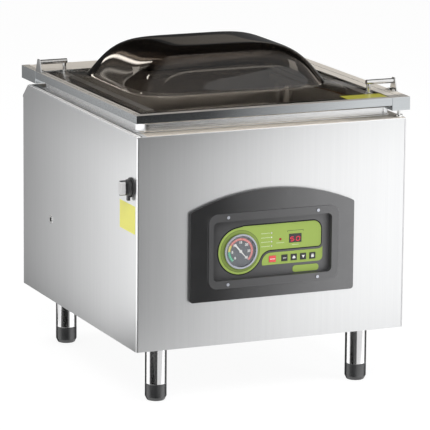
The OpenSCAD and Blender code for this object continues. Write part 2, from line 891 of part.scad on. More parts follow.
module control_bezel() {
  color(dark) translate([panel_x, 0, panel_z]) difference() {
    union() {
      slab_y(bezel_y, front_y) bezel_outline();
      slab_y(frame_y, bezel_y) round_rect(frame_w, frame_h, frame_r);
    }
    slab_y(frame_y - 1, front_y + 1) tray_outline(0);
    screw_places() rod_y(frame_y - 1, front_y + 1, screw_r + gap);
  }
}

// The round field and the upper field of the overlay, grown by a border
module field_outline(grow) {
  lean = 100;
  disc = disc_r + grow;
  top = field_top + grow;
  low_z = field_bottom - grow;
  join_x = disc_x + disc * cos(lean) + (disc_z + disc * sin(lean) - top) * tan(lean);
  hollow = hollow_r - grow;
  meet = atan2(hollow_z - disc_z, hollow_x - disc_x);
  polygon(concat(
    arc(disc_x, disc_z, disc, lean, 360 + meet, 60),
    arc(hollow_x, hollow_z, hollow, 180 + meet, 90, 12),
    arc(field_right - field_low_r, field_bottom + field_low_r, field_low_r + grow, 270, 360, 8),
    arc(field_right - field_r, field_top - field_r, field_r + grow, 0, 90, 12),
    [[join_x, top]]));
}

// The strip under the keys: it follows the hollow and wraps the upper field's lower corner
module strip_outline() {
  r = hollow_r - groove;
  wrap = field_low_r + groove;
  wrap_x = field_right - field_low_r;
  wrap_z = field_bottom + field_low_r;
  polygon(concat(
    arc(hollow_x, hollow_z, r, 90, 180 + asin((hollow_z - strip_bottom) / r), 16),
    arc(strip_right - strip_r, strip_bottom + strip_r, strip_r, 270, 360, 8),
    arc(wrap_x, wrap_z, wrap, -acos((strip_right - wrap_x) / wrap), -90, 8)));
}

// Windows for the keys, the display and the lamps, each wider than its piece by grow
module panel_windows(grow) {
  for (k = key_list) translate([k[0], key_z]) square([k[1], key_w] + 2 * grow * [1, 1],
    center = true);
  translate([display_x, display_z])
    square([display_w + 2 * grow, display_h + 2 * grow], center = true);
  lamp_places() circle(lamp_r + grow);
  translate([disc_x, disc_z]) circle(gauge_body_r + grow);
}

// Each key's middle and width, from the left
key_list = concat([[key_x - stop_pitch, stop_w]],
  [for (i = [0:3]) [key_x + i * key_pitch, key_w]]);

module lamp_places() {
  for (i = [0:lamp_n - 1]) translate([lamp_x, lamp_z - i * lamp_pitch]) children();
  translate([power_lamp_x, display_z]) children();
}

// Floor of the recess
module control_tray() {
  color(dark) translate([panel_x, 0, panel_z]) slab_y(tray_y, tray_y + tray_t) difference() {
    tray_outline(tray_t);
    panel_windows(gap);
  }
}

// Wall of the recess, from the bezel's back to the floor
module tray_collar() {
  color(dark) translate([panel_x, 0, panel_z]) slab_y(front_y, tray_y) difference() {
    tray_outline(tray_t);
    tray_outline(0);
  }
}

module overlay_border() {
  color("black") translate([panel_x, 0, panel_z]) slab_y(border_y, tray_y) difference() {
    union() {
      field_outline(border_w);
      strip_outline();
      badge_outline();
    }
    panel_windows(gap);
  }
}

module badge_outline() {
  translate([badge_x, badge_z]) round_rect(badge_w, badge_h, badge_h * 0.45);
}

module control_overlay() {
  color(green) translate([panel_x, 0, panel_z]) slab_y(overlay_y, border_y) {
    difference() {
      field_outline(0);
      panel_windows(gap);
    }
    difference() {
      strip_outline();
      panel_windows(gap);
    }
    badge_outline();
  }
}

module display_window() {
  color("maroon") translate([panel_x + display_x, 0, panel_z + display_z])
    slab_y(overlay_y - gap, board_y) square([display_w, display_h], center = true);
}

module status_lamps() {
  color("white") translate([panel_x, 0, panel_z])
    slab_y(overlay_y - gap, board_y) lamp_places() circle(lamp_r);
}

// Pan head screws, each with its nut behind the front panel
module panel_screws() {
  head_t = 1.6;
  nut_t = 2.4;
  color(chrome) translate([panel_x, 0, panel_z]) screw_places() {
    rod_y(frame_y - head_t, frame_y, screw_head_r);
    rod_y(frame_y, front_y + sheet_t + nut_t, screw_r);
    rod_y(front_y + sheet_t, front_y + sheet_t + nut_t, screw_head_r, $fn = 6);
  }
}

// A key cap, held behind the tray by its edge
module key(i) {
  w = key_list[i][1];
  translate([panel_x + key_list[i][0], 0, panel_z + key_z]) {
    slab_y(overlay_y - key_proud, key_back_y) square([w, key_w], center = true);
    slab_y(key_back_y - key_edge_t, key_back_y)
      square([w + 2 * key_edge, key_w + 2 * key_edge], center = true);
  }
}

module stop_key() color("tomato") key(0);
module set_key() color(dark) key(1);
module up_key() color(dark) key(2);
module down_key() color(dark) key(3);
module mode_key() color(dark) key(4);

// Board behind the keys, on four spacers, with two relays on its back
module circuit_board() {
  x0 = disc_x + gauge_body_r + 6;
  x1 = recess_w / 2 - 4;
  half = recess_h / 2 - 8;
  spacer_r = 2.5;
  relay = 18;
  color("darkgreen") translate([panel_x, 0, panel_z]) {
    box([x0, board_y, -half], [x1, board_y + board_t, half]);
    for (x = [x0 + spacer_r, x1 - spacer_r], z = [spacer_r - half, half - spacer_r])
      translate([x, 0, z]) rod_y(tray_y + tray_t, board_y, spacer_r);
    for (x = [display_x - relay, display_x + relay])
      box([x - relay / 2, board_y + board_t, 0],
        [x + relay / 2, board_y + board_t + relay, 1.4 * relay]);
  }
}

// ---- Gauge ----

module at_gauge() translate([panel_x + disc_x, 0, panel_z + disc_z]) children();

module gauge_case() {
  well_r = gauge_r - gauge_rim;
  color(chrome) at_gauge() difference() {
    union() {
      rod_y(gauge_y, overlay_y, gauge_r);
      rod_y(overlay_y, overlay_y + gauge_depth, gauge_body_r);
    }
    rod_y(gauge_y - 1, well_y, well_r);
    rod_y(well_y - 1, overlay_y + gauge_depth / 2, spindle_r + run);
  }
}

module gauge_dial() {
  color("slategray") at_gauge() difference() {
    rod_y(dial_y, well_y, gauge_r - gauge_rim - gap / 2);
    rod_y(dial_y - 1, well_y + 1, spindle_r + 2 * gap);
  }
}

// A tapered pointer with a round tail, on its spindle
module gauge_needle() {
  hub_r = 3;
  tail_r = 2.4;
  tip_w = 0.5;
  color("white") at_gauge() {
    slab_y(needle_y, needle_y + needle_t) rotate(-needle_rest) {
      circle(hub_r);
      polygon([[0, -hub_r / 2], [needle_l, -tip_w / 2], [needle_l, tip_w / 2],
        [0, hub_r / 2], [-tail_l, hub_r / 2], [-tail_l, -hub_r / 2]]);
      translate([-tail_l, 0]) circle(tail_r);
    }
    rod_y(needle_y + needle_t, overlay_y + gauge_depth / 2 - gap, spindle_r);
  }
}

module gauge_lens() {
  color([0.9, 0.95, 0.95, 0.3]) at_gauge()
    rod_y(lens_y, lens_y + lens_t, gauge_r - gauge_rim - gap / 2);
}

// ---- Power switch ----

module switch_base() {
  body = 1.6 * neck_r;
  color(dark) translate([-side_x, switch_y, switch_z]) difference() {
    union() {
      rod_x(-switch_plate_t, 0, switch_r);
      rod_x(0, sheet_t, neck_r);
      box([sheet_t, -body, -body], [sheet_t + switch_depth, body, body]);
    }
    rod_x(-switch_plate_t - 1, switch_depth / 2, knob_shaft_r + run);
  }
}

// A round skirt with a raised grip across it and a pointer that hangs below
module switch_knob() {
  skirt_x = -switch_plate_t - gap;
  color(dark) translate([-side_x, switch_y, switch_z]) {
    rod_x(skirt_x - knob_skirt_t, skirt_x, knob_r);
    slab_x(-switch_out, skirt_x - knob_skirt_t) {
      square([grip_w, grip_l - grip_w], center = true);
      for (z = [-1, 1]) translate([0, z * (grip_l - grip_w) / 2]) circle(grip_w / 2);
    }
    slab_x(skirt_x - knob_skirt_t, skirt_x)
      translate([-pointer_w / 2, -pointer_l]) square([pointer_w, pointer_l]);
    rod_x(skirt_x, switch_depth / 2 - gap, knob_shaft_r);
  }
}

// ---- Lid: drawn flat, then raised at the front about the hinge ----

module on_hinge() {
  translate([0, hinge_y, hinge_z]) rotate([-lid_tilt, 0, 0])
    translate([0, -hinge_y, -hinge_z]) children();
}

// Everything inside the lid frame's side walls, from z upwards
module inside_frame(z) {
  box([-plate_x, plate_front, z], [plate_x, plate_rear, lid_z1 + 1]);
}

// The two corners that hold a block
module block_corners() {
  box([-lid_x, lid_rear - block_rear_l + block_rear_out, block_z0],
    [-lid_x + block_rear_w, lid_rear + block_rear_out, lid_z1]);
  box([lid_x - block_front_w, lid_front, block_z0],
    [lid_x, lid_front + block_front_l, lid_z1]);
}

module lid_rails() {
  color(steel) on_hinge() difference() {
    box([-lid_x, lid_front, lid_z0], [lid_x, lid_rear, lid_z1]);
    inside_frame_hollow();
    difference() {
      block_corners();
      inside_frame(block_z0 - 1);
    }
    pressed_lines();
  }
}

// The frame's hollow: open below, and open above inside the lips
module inside_frame_hollow() {
  bar_y0 = hinge_y - lug_r * 2.5;
  difference() {
    box([-plate_x, plate_front, lid_z0 - 1], [plate_x, plate_rear, plate_z1]);
    box([-lid_x + block_rear_w + gap, bar_y0, lid_z0 - 1],
      [plate_x, plate_rear + 1, plate_z0]);
  }
  box([-lid_x + lip_left, lid_front + lip_front, lid_z0],
    [lid_x - lip_right, lip_rear_y, lid_z1 + 1]);
}

// Lines along the middle of the side lips and the front lip
module pressed_lines() {
  z = lid_z1 - line_t;
  left = -lid_x + lip_left / 2;
  right = lid_x - lip_right / 2;
  box([left - line_w / 2, lid_front + lip_front / 2, z],
    [left + line_w / 2, lip_rear_y - line_w, lid_z1 + 1]);
  box([right - line_w / 2, lid_front + lip_front / 2, z],
    [right + line_w / 2, lip_rear_y - line_w, lid_z1 + 1]);
  box([left - line_w / 2, lid_front + lip_front / 2 - line_w / 2, z],
    [right + line_w / 2, lid_front + lip_front / 2 + line_w / 2, lid_z1 + 1]);
}

module corner_blocks() {
  color(chrome) on_hinge() difference() {
    block_corners();
    inside_frame(plate_z0);
  }
}

// Plate and dome in one moulding: rings of points from the dome's top out to the plate's edge
dome_sides = 72;
dome_rings = 12;
function round_dir(a, k) =
  [cos(a), sin(a)] / pow(pow(abs(cos(a)), k) + pow(abs(sin(a)), k), 1 / k);
function square_dir(a) = [cos(a), sin(a)] / max(abs(cos(a)), abs(sin(a)));
function dome_ring(s, a, b, z, h) = [for (i = [0:dome_sides - 1])
  let (d = round_dir(360 * i / dome_sides, dome_k))
  [dome_x + s * a * d[0], dome_y + s * b * d[1], z + h * pow(1 - pow(s, dome_p), dome_q)]];
function plate_ring(z) = [for (i = [0:dome_sides - 1])
  let (d = square_dir(360 * i / dome_sides))
  [plate_x * d[0], (plate_front + plate_rear) / 2 + (plate_rear - plate_front) / 2 * d[1], z]];
function dome_skin(a, b, z, h) = concat([[dome_x, dome_y, z + h]],
  [for (i = [1:dome_rings]) each dome_ring(i / dome_rings, a, b, z, h)], plate_ring(z));
// Triangles between two rings that start at points p and q
function band(p, q) = [for (i = [0:dome_sides - 1]) let (j = (i + 1) % dome_sides)
  each [[p + i, q + i, q + j], [p + i, q + j, p + j]]];
function skin_faces(p) = concat(
  [for (i = [0:dome_sides - 1]) [p, p + 1 + i, p + 1 + (i + 1) % dome_sides]],
  [for (k = [0:dome_rings - 1])
    each band(p + 1 + k * dome_sides, p + 1 + (k + 1) * dome_sides)]);
function flipped(faces) = [for (f = faces) [f[0], f[2], f[1]]];

module lid_window() {
  count = 1 + (dome_rings + 1) * dome_sides;
  edge = count - dome_sides;
  top = dome_skin(dome_a, dome_b, plate_z1, dome_h);
  under = dome_skin(dome_a - dome_t, dome_b - dome_t, plate_z0, dome_h + plate_t - dome_t);
  color([0.25, 0.22, 0.2, 0.8]) on_hinge()
    polyhedron(concat(top, under), concat(flipped(skin_faces(0)), skin_faces(count),
      flipped(band(edge, edge + count))), convexity = 6);
}

module lid_gasket() {
  color("black") on_hinge() translate([0, rim_y, deck_z + rim_h])
    linear_extrude(plate_z0 - deck_z - rim_h) difference() {
      round_rect(rim_w, rim_d, rim_r);
      round_rect(tub_w, tub_d, tub_r);
    }
}

module counter_bars() {
  color("silver") on_hinge() for (side = [-1, 1]) translate([side * bar_x, rim_y, 0])
    box([-counter_w / 2, -bar_l / 2, counter_z], [counter_w / 2, bar_l / 2, plate_z0]);
}

// A round bar between a flared plate at the lid's edge and a post on the window
module lid_bracket() {
  outer = lid_x - bracket_t;
  inner = outer - bracket_l;
  top = lid_z1 + bracket_up;
  foot_w = lip_left - line_w;
  foot_t = 2;
  rim = 1;
  translate([0, 0, top]) rod_x(inner - post_r - rim, outer, bracket_r);
  slab_x(outer, lid_x) polygon([[-bracket_foot / 2, lid_z1], [bracket_foot / 2, lid_z1],
    [bracket_r + rim, top + bracket_r + rim], [-bracket_r - rim, top + bracket_r + rim]]);
  box([lid_x - foot_w, -bracket_foot / 2 - rim, lid_z1],
    [lid_x, bracket_foot / 2 + rim, lid_z1 + foot_t]);
  translate([inner, 0, 0]) {
    rod_z(plate_z1, top, post_r);
    rod_z(plate_z1, plate_z1 + foot_t, 2 * post_r);
  }
  for (y = [-1, 1]) translate([lid_x - foot_w / 2, y * bracket_foot / 3, 0])
    rod_z(lid_z1 + foot_t, lid_z1 + 2 * foot_t, screw_head_r);
}

module lid_brackets() {
  color(chrome) on_hinge() {
    translate([0, lid_front + bracket_front, 0]) lid_bracket();
    translate([0, lip_rear_y - bracket_rear, 0]) mirror([1, 0, 0]) lid_bracket();
  }
}

module lid_label() {
  x1 = lid_x - lip_right - 2;
  y0 = lid_front + lip_front + 3;
  color("gold") on_hinge() box([x1 - lid_label_w, y0, plate_z1],
    [x1, y0 + lid_label_d, plate_z1 + label_t]);
}

// ---- Hinge ----

module at_hinges() for (x = [-1, 1]) translate([x * hinge_span / 2, hinge_y, hinge_z]) children();

module hinge_knuckles() {
  knuckle_r = lug_r - 1;
  half = knuckle_w / 2;
  color(chrome) on_hinge() at_hinges() {
    rod_x(-half, half, knuckle_r);
    box([-half, -knuckle_r, 0], [half, knuckle_r, lid_z0 - hinge_z]);
    rod_x(-half - lug_t, half + lug_t, pin_r);
  }
}

module hinge_lugs() {
  inner = knuckle_w / 2 + gap;
  back = slope_start - hinge_y;
  color(steel) at_hinges() difference() {
    union() {
      box([-inner - lug_t, back - hinge_base_d, -hinge_up],
        [inner + lug_t, back, hinge_base_t - hinge_up]);
      for (x = [-inner - lug_t, inner]) {
        rod_x(x, x + lug_t, lug_r);
        box([x, back - hinge_base_d + 4, -hinge_up], [x + lug_t, back, 0]);
      }
    }
    rod_x(-inner - lug_t - 1, inner + lug_t + 1, pin_r + run);
  }
}

// ---- Start plunger ----

module plunger_base() {
  color(chrome) translate([plunger_x, plunger_y, 0]) difference() {
    union() {
      rod_z(deck_z, deck_z + plunger_base_h, plunger_base_r);
      rod_z(deck_z - sleeve_l, deck_z, sleeve_r);
    }
    rod_z(deck_z - sleeve_l - 1, deck_z + plunger_base_h + 1, plunger_r + run);
  }
}

// A sprung rod that the closing lid pushes down, with a collar below its sleeve
module lid_plunger() {
  collar_t = 2;
  collar_z = deck_z - sleeve_l - gap;
  color(chrome) translate([plunger_x, plunger_y, 0]) {
    rod_z(collar_z - collar_t, plunger_z1, plunger_r);
    rod_z(collar_z - collar_t, collar_z, sleeve_r - 1);
  }
}

// ---- Pump ----

module at_motor() translate([0, motor_y, motor_z]) children();

module pump_body() {
  foot_w = 24;
  fin_t = 4;
  color("dimgray") {
    box([motor_end, pump_y0, pump_z0], [pump_x1, pump_y1, pump_z1]);
    for (x = [motor_end, pump_x1 - foot_w])
      box([x, pump_y0, base_z], [x + foot_w, pump_y1, pump_z0]);
    for (x = [motor_end + fin_t:3 * fin_t:pump_x1 - 2 * fin_t])
      box([x, pump_y0 - 2 * fin_t, pump_z0], [x + fin_t, pump_y0, pump_z1]);
    translate([filter_x, port_y, 0]) rod_z(pump_z1, pump_z1 + fin_t, 1.4 * hose_r);
  }
}

module pump_motor() {
  end_t = 10;
  color("steelblue") difference() {
    union() {
      at_motor() rod_x(motor_x, motor_end, motor_r);
      for (x = [motor_x + 3 * end_t, motor_end - 5 * end_t])
        box([x, motor_y - motor_r * 0.7, base_z],
          [x + 2 * end_t, motor_y + motor_r * 0.7, motor_z - motor_r * 0.6]);
    }
    at_motor() {
      rod_x(motor_x + end_t, motor_end - end_t, core_r + air_gap);
      rod_x(motor_x - 1, motor_end - end_t + 1, shaft_r + run);
    }
  }
}

// Shaft with its core, and a fan at its free end
module motor_rotor() {
  end_t = 10;
  play = 4;
  hub_r = 2 * shaft_r;
  blade_t = 3;
  color("silver") at_motor() {
    rod_x(fan_x, motor_end - end_t, shaft_r);
    rod_x(motor_x + end_t + play, motor_end - end_t - play, core_r);
    rod_x(fan_x, fan_x + fan_w, hub_r);
    for (i = [0:fan_n - 1]) rotate([360 * i / fan_n, 0, 0])
      box([fan_x, -blade_t / 2, hub_r - 1], [fan_x + fan_w, blade_t / 2, fan_r]);
  }
}

// Sheet cover over the fan, open towards the motor, with a ring of air holes in its end
module fan_cowl() {
  x0 = fan_x - 2 - casing_t;
  color("dimgray") at_motor() difference() {
    rod_x(x0, motor_x, motor_r);
    rod_x(x0 + casing_t, motor_x + 1, motor_r - casing_t);
    for (i = [0:fan_n - 1]) rotate([360 * i / fan_n, 0, 0])
      box([x0 - 1, -vent_h, fan_r / 3], [x0 + casing_t + 1, vent_h, fan_r]);
  }
}

module exhaust_filter() {
  color("gainsboro") translate([filter_x, 0, motor_z]) difference() {
    union() {
      rod_y(pump_y1, rear_y - sheet_t, filter_r);
      rod_y(rear_y - sheet_t, rear_y + outlet_out, outlet_r);
    }
    rod_y(rear_y - sheet_t, rear_y + outlet_out + 1, outlet_r / 2);
  }
}

module vacuum_hose() {
  color("black") translate([filter_x, port_y, 0]) difference() {
    rod_z(pump_z1 + 4, valve_z, hose_r);
    rod_z(pump_z1 + 3, valve_z + 1, hose_r - hose_t);
  }
}

// Valve block under the chamber's suction port
module valve_block() {
  half = valve_w / 2;
  coil_r = 11;
  color("goldenrod") translate([filter_x, port_y, valve_z]) difference() {
    union() {
      box([-half, -half, 0], [half, half, valve_h]);
      translate([half, 0, valve_h / 2]) rod_x(0, 3 * coil_r, coil_r);
    }
    rod_z(-1, valve_h + 1, hose_r - hose_t);
  }
}

module transformer() {
  depth = 0.8 * trafo_w;
  coil = 0.6 * trafo_w;
  color("slategray") translate([side_x - trafo_w, front_y + 2 * trafo_w, base_z]) {
    box([-trafo_w / 2, -depth / 4, 0], [trafo_w / 2, depth / 4, trafo_h]);
    box([-coil / 2, -depth / 2, trafo_h / 5], [coil / 2, depth / 2, 4 * trafo_h / 5]);
  }
}

// ---- Cable gland ----

module cable_gland() {
  nut_t = 5;
  color(dark) translate([side_x, gland_y, gland_z]) difference() {
    union() {
      rod_x(0, nut_t, gland_nut_r, $fn = 6);
      rod_x(nut_t, gland_out, gland_r + 1);
      rod_x(-2 * nut_t, nut_t, gland_r);
      rod_x(-sheet_t - nut_t, -sheet_t, gland_nut_r, $fn = 6);
    }
    rod_x(-2 * nut_t - 1, gland_out + 1, cable_r);
  }
}

// ---- Nodes ----

left_side_panel();
right_side_panel();
front_panel();
rear_panel();
base_plate();
top_deck();
side_grommet();
side_label();
chamber_tub();
chamber_rim();
lift_posts();
seal_bar_left();
seal_bar_right();
seal_tape_left();
seal_tape_right();
filler_plate();
leg_tubes();
foot_front_left();
foot_front_right();
foot_rear_left();
foot_rear_right();
control_bezel();
control_tray();
tray_collar();
overlay_border();
control_overlay();
display_window();
status_lamps();
panel_screws();
stop_key();
set_key();
up_key();
down_key();
mode_key();
circuit_board();
gauge_case();
gauge_dial();
gauge_needle();
gauge_lens();
switch_base();
switch_knob();
lid_rails();
corner_blocks();
lid_window();
lid_gasket();
counter_bars();
lid_brackets();
lid_label();
hinge_knuckles();
hinge_lugs();
plunger_base();
lid_plunger();
pump_body();
pump_motor();
motor_rotor();
fan_cowl();
exhaust_filter();
vacuum_hose();
valve_block();
transformer();
cable_gland();
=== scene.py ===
"""Chamber vacuum sealer: dresses the fixed solids with finishes, soft edges and fine parts."""
import json
import math

import bmesh
import bpy
from bpy.props import (
    FloatProperty, FloatVectorProperty, IntProperty, PointerProperty, StringProperty,
)
from mathutils import Matrix, Vector

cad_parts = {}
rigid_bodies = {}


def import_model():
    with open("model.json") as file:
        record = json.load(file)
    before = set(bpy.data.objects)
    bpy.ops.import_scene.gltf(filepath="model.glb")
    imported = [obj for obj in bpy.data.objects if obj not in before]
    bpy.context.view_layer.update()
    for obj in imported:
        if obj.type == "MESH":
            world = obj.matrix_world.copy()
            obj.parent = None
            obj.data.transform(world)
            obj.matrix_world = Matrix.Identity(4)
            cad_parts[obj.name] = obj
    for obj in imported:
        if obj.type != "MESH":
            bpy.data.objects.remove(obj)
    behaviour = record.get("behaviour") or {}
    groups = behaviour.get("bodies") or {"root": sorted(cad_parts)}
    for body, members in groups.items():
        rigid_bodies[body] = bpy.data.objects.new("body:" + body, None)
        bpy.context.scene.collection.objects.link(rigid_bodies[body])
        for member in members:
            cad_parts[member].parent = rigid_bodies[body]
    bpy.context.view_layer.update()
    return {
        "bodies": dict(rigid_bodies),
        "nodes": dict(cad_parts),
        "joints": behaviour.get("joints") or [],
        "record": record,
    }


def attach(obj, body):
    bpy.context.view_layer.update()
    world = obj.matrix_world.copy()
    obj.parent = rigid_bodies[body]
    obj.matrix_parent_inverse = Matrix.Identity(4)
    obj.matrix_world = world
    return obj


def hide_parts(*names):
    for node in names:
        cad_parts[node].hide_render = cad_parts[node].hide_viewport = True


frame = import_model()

bl_info = {
    "name": "Chamber Vacuum Sealer",
    "version": (1, 0, 0),
    "blender": (4, 5, 0),
    "location": "3D Viewport > Sidebar > Sealer",
    "description": "Finishes and fine parts of a chamber vacuum sealer",
    "category": "Object",
}

MM = 0.001
DIAL = Vector((-65.2, -303.7, 292.8)) * MM
HINGE = Vector((0.0, 279.0, 541.0)) * MM
LID_TILT = math.radians(0.5)
SHARP = math.radians(32)
WELD = 0.000002    # corners nearer than this are one, in metres
INK = 0.12         # thickness of raised print, in millimetres
ON_HINGE = (
    Matrix.Translation(HINGE) @ Matrix.Rotation(-LID_TILT, 4, "X") @ Matrix.Translation(-HINGE)
)


# ---- Sizes and colours that a user may change ----

def colour_setting(name, description, default):
    return FloatVectorProperty(
        name=name, description=description, subtype="COLOR", size=3, min=0, max=1,
        default=default)


def length_setting(name, description, default, **limits):
    return FloatProperty(
        name=name, description=description, subtype="DISTANCE", unit="LENGTH", default=default,
        **limits)


class SteelSettings(bpy.types.PropertyGroup):
    tone: colour_setting("Tone", "Colour of the brushed sheet steel", (0.72, 0.725, 0.73))
    grain: FloatProperty(
        name="Grain", description="Depth of colour in the brushing",
        subtype="FACTOR", min=0, max=1, default=0.5)
    edge: length_setting("Edge", "Width of the softened sheet edges", 0.0005, min=0, max=0.001)


class WindowSettings(bpy.types.PropertyGroup):
    tint: colour_setting(
        "Tint", "Colour that one face of the acrylic lets through", (0.185, 0.16, 0.138))
    half_width: length_setting("Half width", "Half of the dome's width", 0.209)
    half_depth: length_setting("Half depth", "Half of the dome's depth", 0.1815)
    height: length_setting("Height", "Height of the dome above the plate", 0.0769)
    wall: length_setting("Wall", "Wall of the dome", 0.006)
    corner: FloatProperty(
        name="Corner", description="Corner exponent of the outline: 2 is an ellipse",
        min=2, max=12, default=5.5)
    shoulder: FloatProperty(
        name="Shoulder", description="Shoulder exponent: more makes the top flatter",
        min=2, max=8, default=5.7)
    foot: FloatProperty(
        name="Foot", description="Foot exponent: more makes the foot softer",
        min=1, max=2, default=1.33)
    sides: IntProperty(
        name="Sides", description="Steps round the dome, a multiple of eight",
        min=32, max=512, default=256)
    rings: IntProperty(
        name="Rings", description="Steps from the dome's top to its foot",
        min=8, max=96, default=44)


class PanelSettings(bpy.types.PropertyGroup):
    overlay: colour_setting("Overlay", "Green of the control overlay", (0.335, 0.458, 0.088))
    bezel: colour_setting("Bezel", "Grey of the moulded bezel", (0.172, 0.172, 0.175))
    stop: colour_setting("Stop key", "Red of the stop key", (0.80, 0.085, 0.085))
    reading: StringProperty(
        name="Reading", description="Two digits that the display shows", default="50")
    ticks: IntProperty(
        name="Ticks", description="Tick marks on the gauge's dial", min=7, max=121, default=61)


class StageSettings(bpy.types.PropertyGroup):
    lens: FloatProperty(
        name="Lens", description="Focal length in millimetres", min=20, max=600, default=300.585)
    key: FloatProperty(
        name="Key", description="Power of the key light", unit="POWER", min=0, default=46)
    fill: FloatProperty(
        name="Fill", description="Power of the fill light", unit="POWER", min=0, default=30)
    sky: FloatProperty(
        name="Sky", description="Light from all round", min=0, max=2, default=0.52)


# ---- Node trees ----

class Value:
    """A socket of a node tree, with the operators that add its Math nodes."""

    def __init__(self, tree, socket):
        self.tree = tree
        self.socket = socket

    def math(self, operation, *others):
        values = dict(enumerate((self, *others)))
        return self.tree.node("ShaderNodeMath", {"operation": operation}, values)

    def __add__(self, other): return self.math("ADD", other)
    def __radd__(self, other): return self.math("ADD", other)
    def __sub__(self, other): return self.math("SUBTRACT", other)
    def __rsub__(self, other): return self.tree.number(other).math("SUBTRACT", self)
    def __mul__(self, other): return self.math("MULTIPLY", other)
    def __rmul__(self, other): return self.math("MULTIPLY", other)
    def __truediv__(self, other): return self.math("DIVIDE", other)
    def __rtruediv__(self, other): return self.tree.number(other).math("DIVIDE", self)
    def __pow__(self, other): return self.math("POWER", other)
    def __abs__(self): return self.math("ABSOLUTE")
    def __gt__(self, other): return self.math("GREATER_THAN", other)
    def __lt__(self, other): return self.math("LESS_THAN", other)


class Tree:
    """Builds one node tree."""

    def __init__(self, tree):
        self.tree = tree

    def node(self, kind, settings=None, inputs=None, out=0):
        """Add a node: its settings first, then the values or links of its sockets."""
        node = self.tree.nodes.new(kind)
        for key, value in (settings or {}).items():
            if key == "stops":
                ramp = node.color_ramp
                for i, (place, shade) in enumerate(value):
                    stop = ramp.elements[i] if i < 2 else ramp.elements.new(place)
                    stop.position, stop.color = place, shade
            else:
                setattr(node, key, value)
        for key, value in (inputs or {}).items():
            socket = node.inputs[key]
            for item in value if isinstance(value, list) else [value]:
                if isinstance(item, Value):
                    self.tree.links.new(item.socket, socket)
                else:
                    socket.default_value = item
        return Value(self, node.outputs[out]) if len(node.outputs) else None

    def number(self, value):
        node = self.node("ShaderNodeValue")
        node.socket.default_value = value
        return node

    def parts(self, vector):
        """The X, Y and Z of a vector."""
        first = self.node("ShaderNodeSeparateXYZ", None, {0: vector})
        return [Value(self, first.socket.node.outputs[i]) for i in range(3)]

    def vector(self, x, y, z):
        return self.node("ShaderNodeCombineXYZ", None, {0: x, 1: y, 2: z})


class Finish(Tree):
    """Builds one material."""

    def __init__(self, name):
        self.material = bpy.data.materials.new(name)
        self.material.use_nodes = True
        super().__init__(self.material.node_tree)
        self.tree.nodes.clear()

    def point(self):
        return self.node("ShaderNodeTexCoord", out="Object")

    def here(self):
        """The X, Y and Z of object coordinates."""
        return self.parts(self.point())

    def place(self, scale=(1, 1, 1)):
        """Object coordinates, stretched."""
        return self.node("ShaderNodeMapping", None, {"Vector": self.point(), "Scale": scale})

    def noise(self, scale, detail=2.0, rough=0.5):
        """Noise from 0 to 1; scale is cycles a metre, one number or three."""
        if isinstance(scale, (int, float)):
            scale = (scale, scale, scale)
        return self.node("ShaderNodeTexNoise", None, {
            "Vector": self.place(scale), "Scale": 1.0, "Detail": detail, "Roughness": rough})

    def cells(self, scale):
        return self.node("ShaderNodeTexVoronoi", {"feature": "F1"}, {
            "Vector": self.place((scale, scale, scale)), "Scale": 1.0})

    def waves(self, scale, direction="X", distort=0.0):
        return self.node("ShaderNodeTexWave", {"bands_direction": direction}, {
            "Vector": self.place(), "Scale": scale, "Distortion": distort}, out=1)

    def mix(self, factor, a, b):
        """Colour a where factor is 0, colour b where it is 1."""
        a, b = [(*c, 1.0) if isinstance(c, tuple) and len(c) == 3 else c for c in (a, b)]
        return self.node("ShaderNodeMix", {"data_type": "RGBA"}, {0: factor, 6: a, 7: b}, out=2)

    def ramp(self, factor, *stops):
        return self.node("ShaderNodeValToRGB", {
            "stops": [(place, (v, v, v, 1.0)) for place, v in stops]}, {0: factor})

    def bump(self, height, depth):
        return self.node("ShaderNodeBump", None, {
            "Strength": 1.0, "Distance": depth, "Height": height})

    def surface(self, colour, roughness, metallic=0.0, normal=None, **constants):
        """The shader; constants are the sockets that hold one value all over."""
        if isinstance(colour, tuple):
            colour = (*colour, 1.0)
        inputs = {"Base Color": colour, "Roughness": roughness, "Metallic": metallic}
        inputs.update({name.replace("_", " "): value for name, value in constants.items()})
        if normal is not None:
            inputs["Normal"] = normal
        shader = self.node("ShaderNodeBsdfPrincipled", None, inputs)
        self.node("ShaderNodeOutputMaterial", None, {"Surface": shader})
        return self.material


def shade(colour, by):
    """A colour made lighter or darker."""
    return tuple(min(1.0, c * by) for c in colour)


def shades(colour, low, high):
    return shade(colour, low), shade(colour, high)


def shown_rays(t):
    """1 for camera, glossy and transmission rays, 0 for all others."""
    camera = t.node("ShaderNodeLightPath", out="Is Camera Ray")
    rays = camera.socket.node.outputs
    glossy, through = Value(t, rays["Is Glossy Ray"]), Value(t, rays["Is Transmission Ray"])
    return (camera + glossy + through).math("MINIMUM", 1.0)


# ---- Finishes ----

LID_TOP = 0.5660      # just under the top faces of the lid's frame, with the lid laid level
PLATE_TOP = 0.5666    # just over the window's flat plate, with the lid laid level
RAIL_LEFT, RAIL_FRONT = -0.2700, -0.2850        # the lid's top has painted shade outside these
DECK_COOL, DECK_SHADE, DECK_HIGHLIGHT = -0.2600, -0.2690, -0.2716    # bands at the deck's left edge: painted grey reflection, painted shade, and a painted highlight on its curved edge
BRUSHING = {
    "X": ((14, 1500, 1500), (1.5, 130, 130)),
    "Y": ((1500, 14, 1500), (130, 1.5, 130)),
    "Z": ((1500, 1500, 14), (130, 130, 1.5)),
}


def levelled(y, z):
    """Height of a point of the lid, with the lid laid level."""
    return z + (y - HINGE.y) * math.sin(LID_TILT)


def lid_top(f, painted_top_light):
    """Top faces of the lid's frame: a painted cream reflection, with painted shade on its left and
    front rails.
    """
    x, y, z = f.here()
    # Painted shade: the tops of the left and front rails are darker
    painted_shade = ((x < RAIL_LEFT) * 0.40).math("MAXIMUM", (y < RAIL_FRONT) * 0.55)
    return levelled(y, z) > LID_TOP, 0.0, f.mix(painted_shade, painted_top_light, (0.10, 0.10, 0.11))


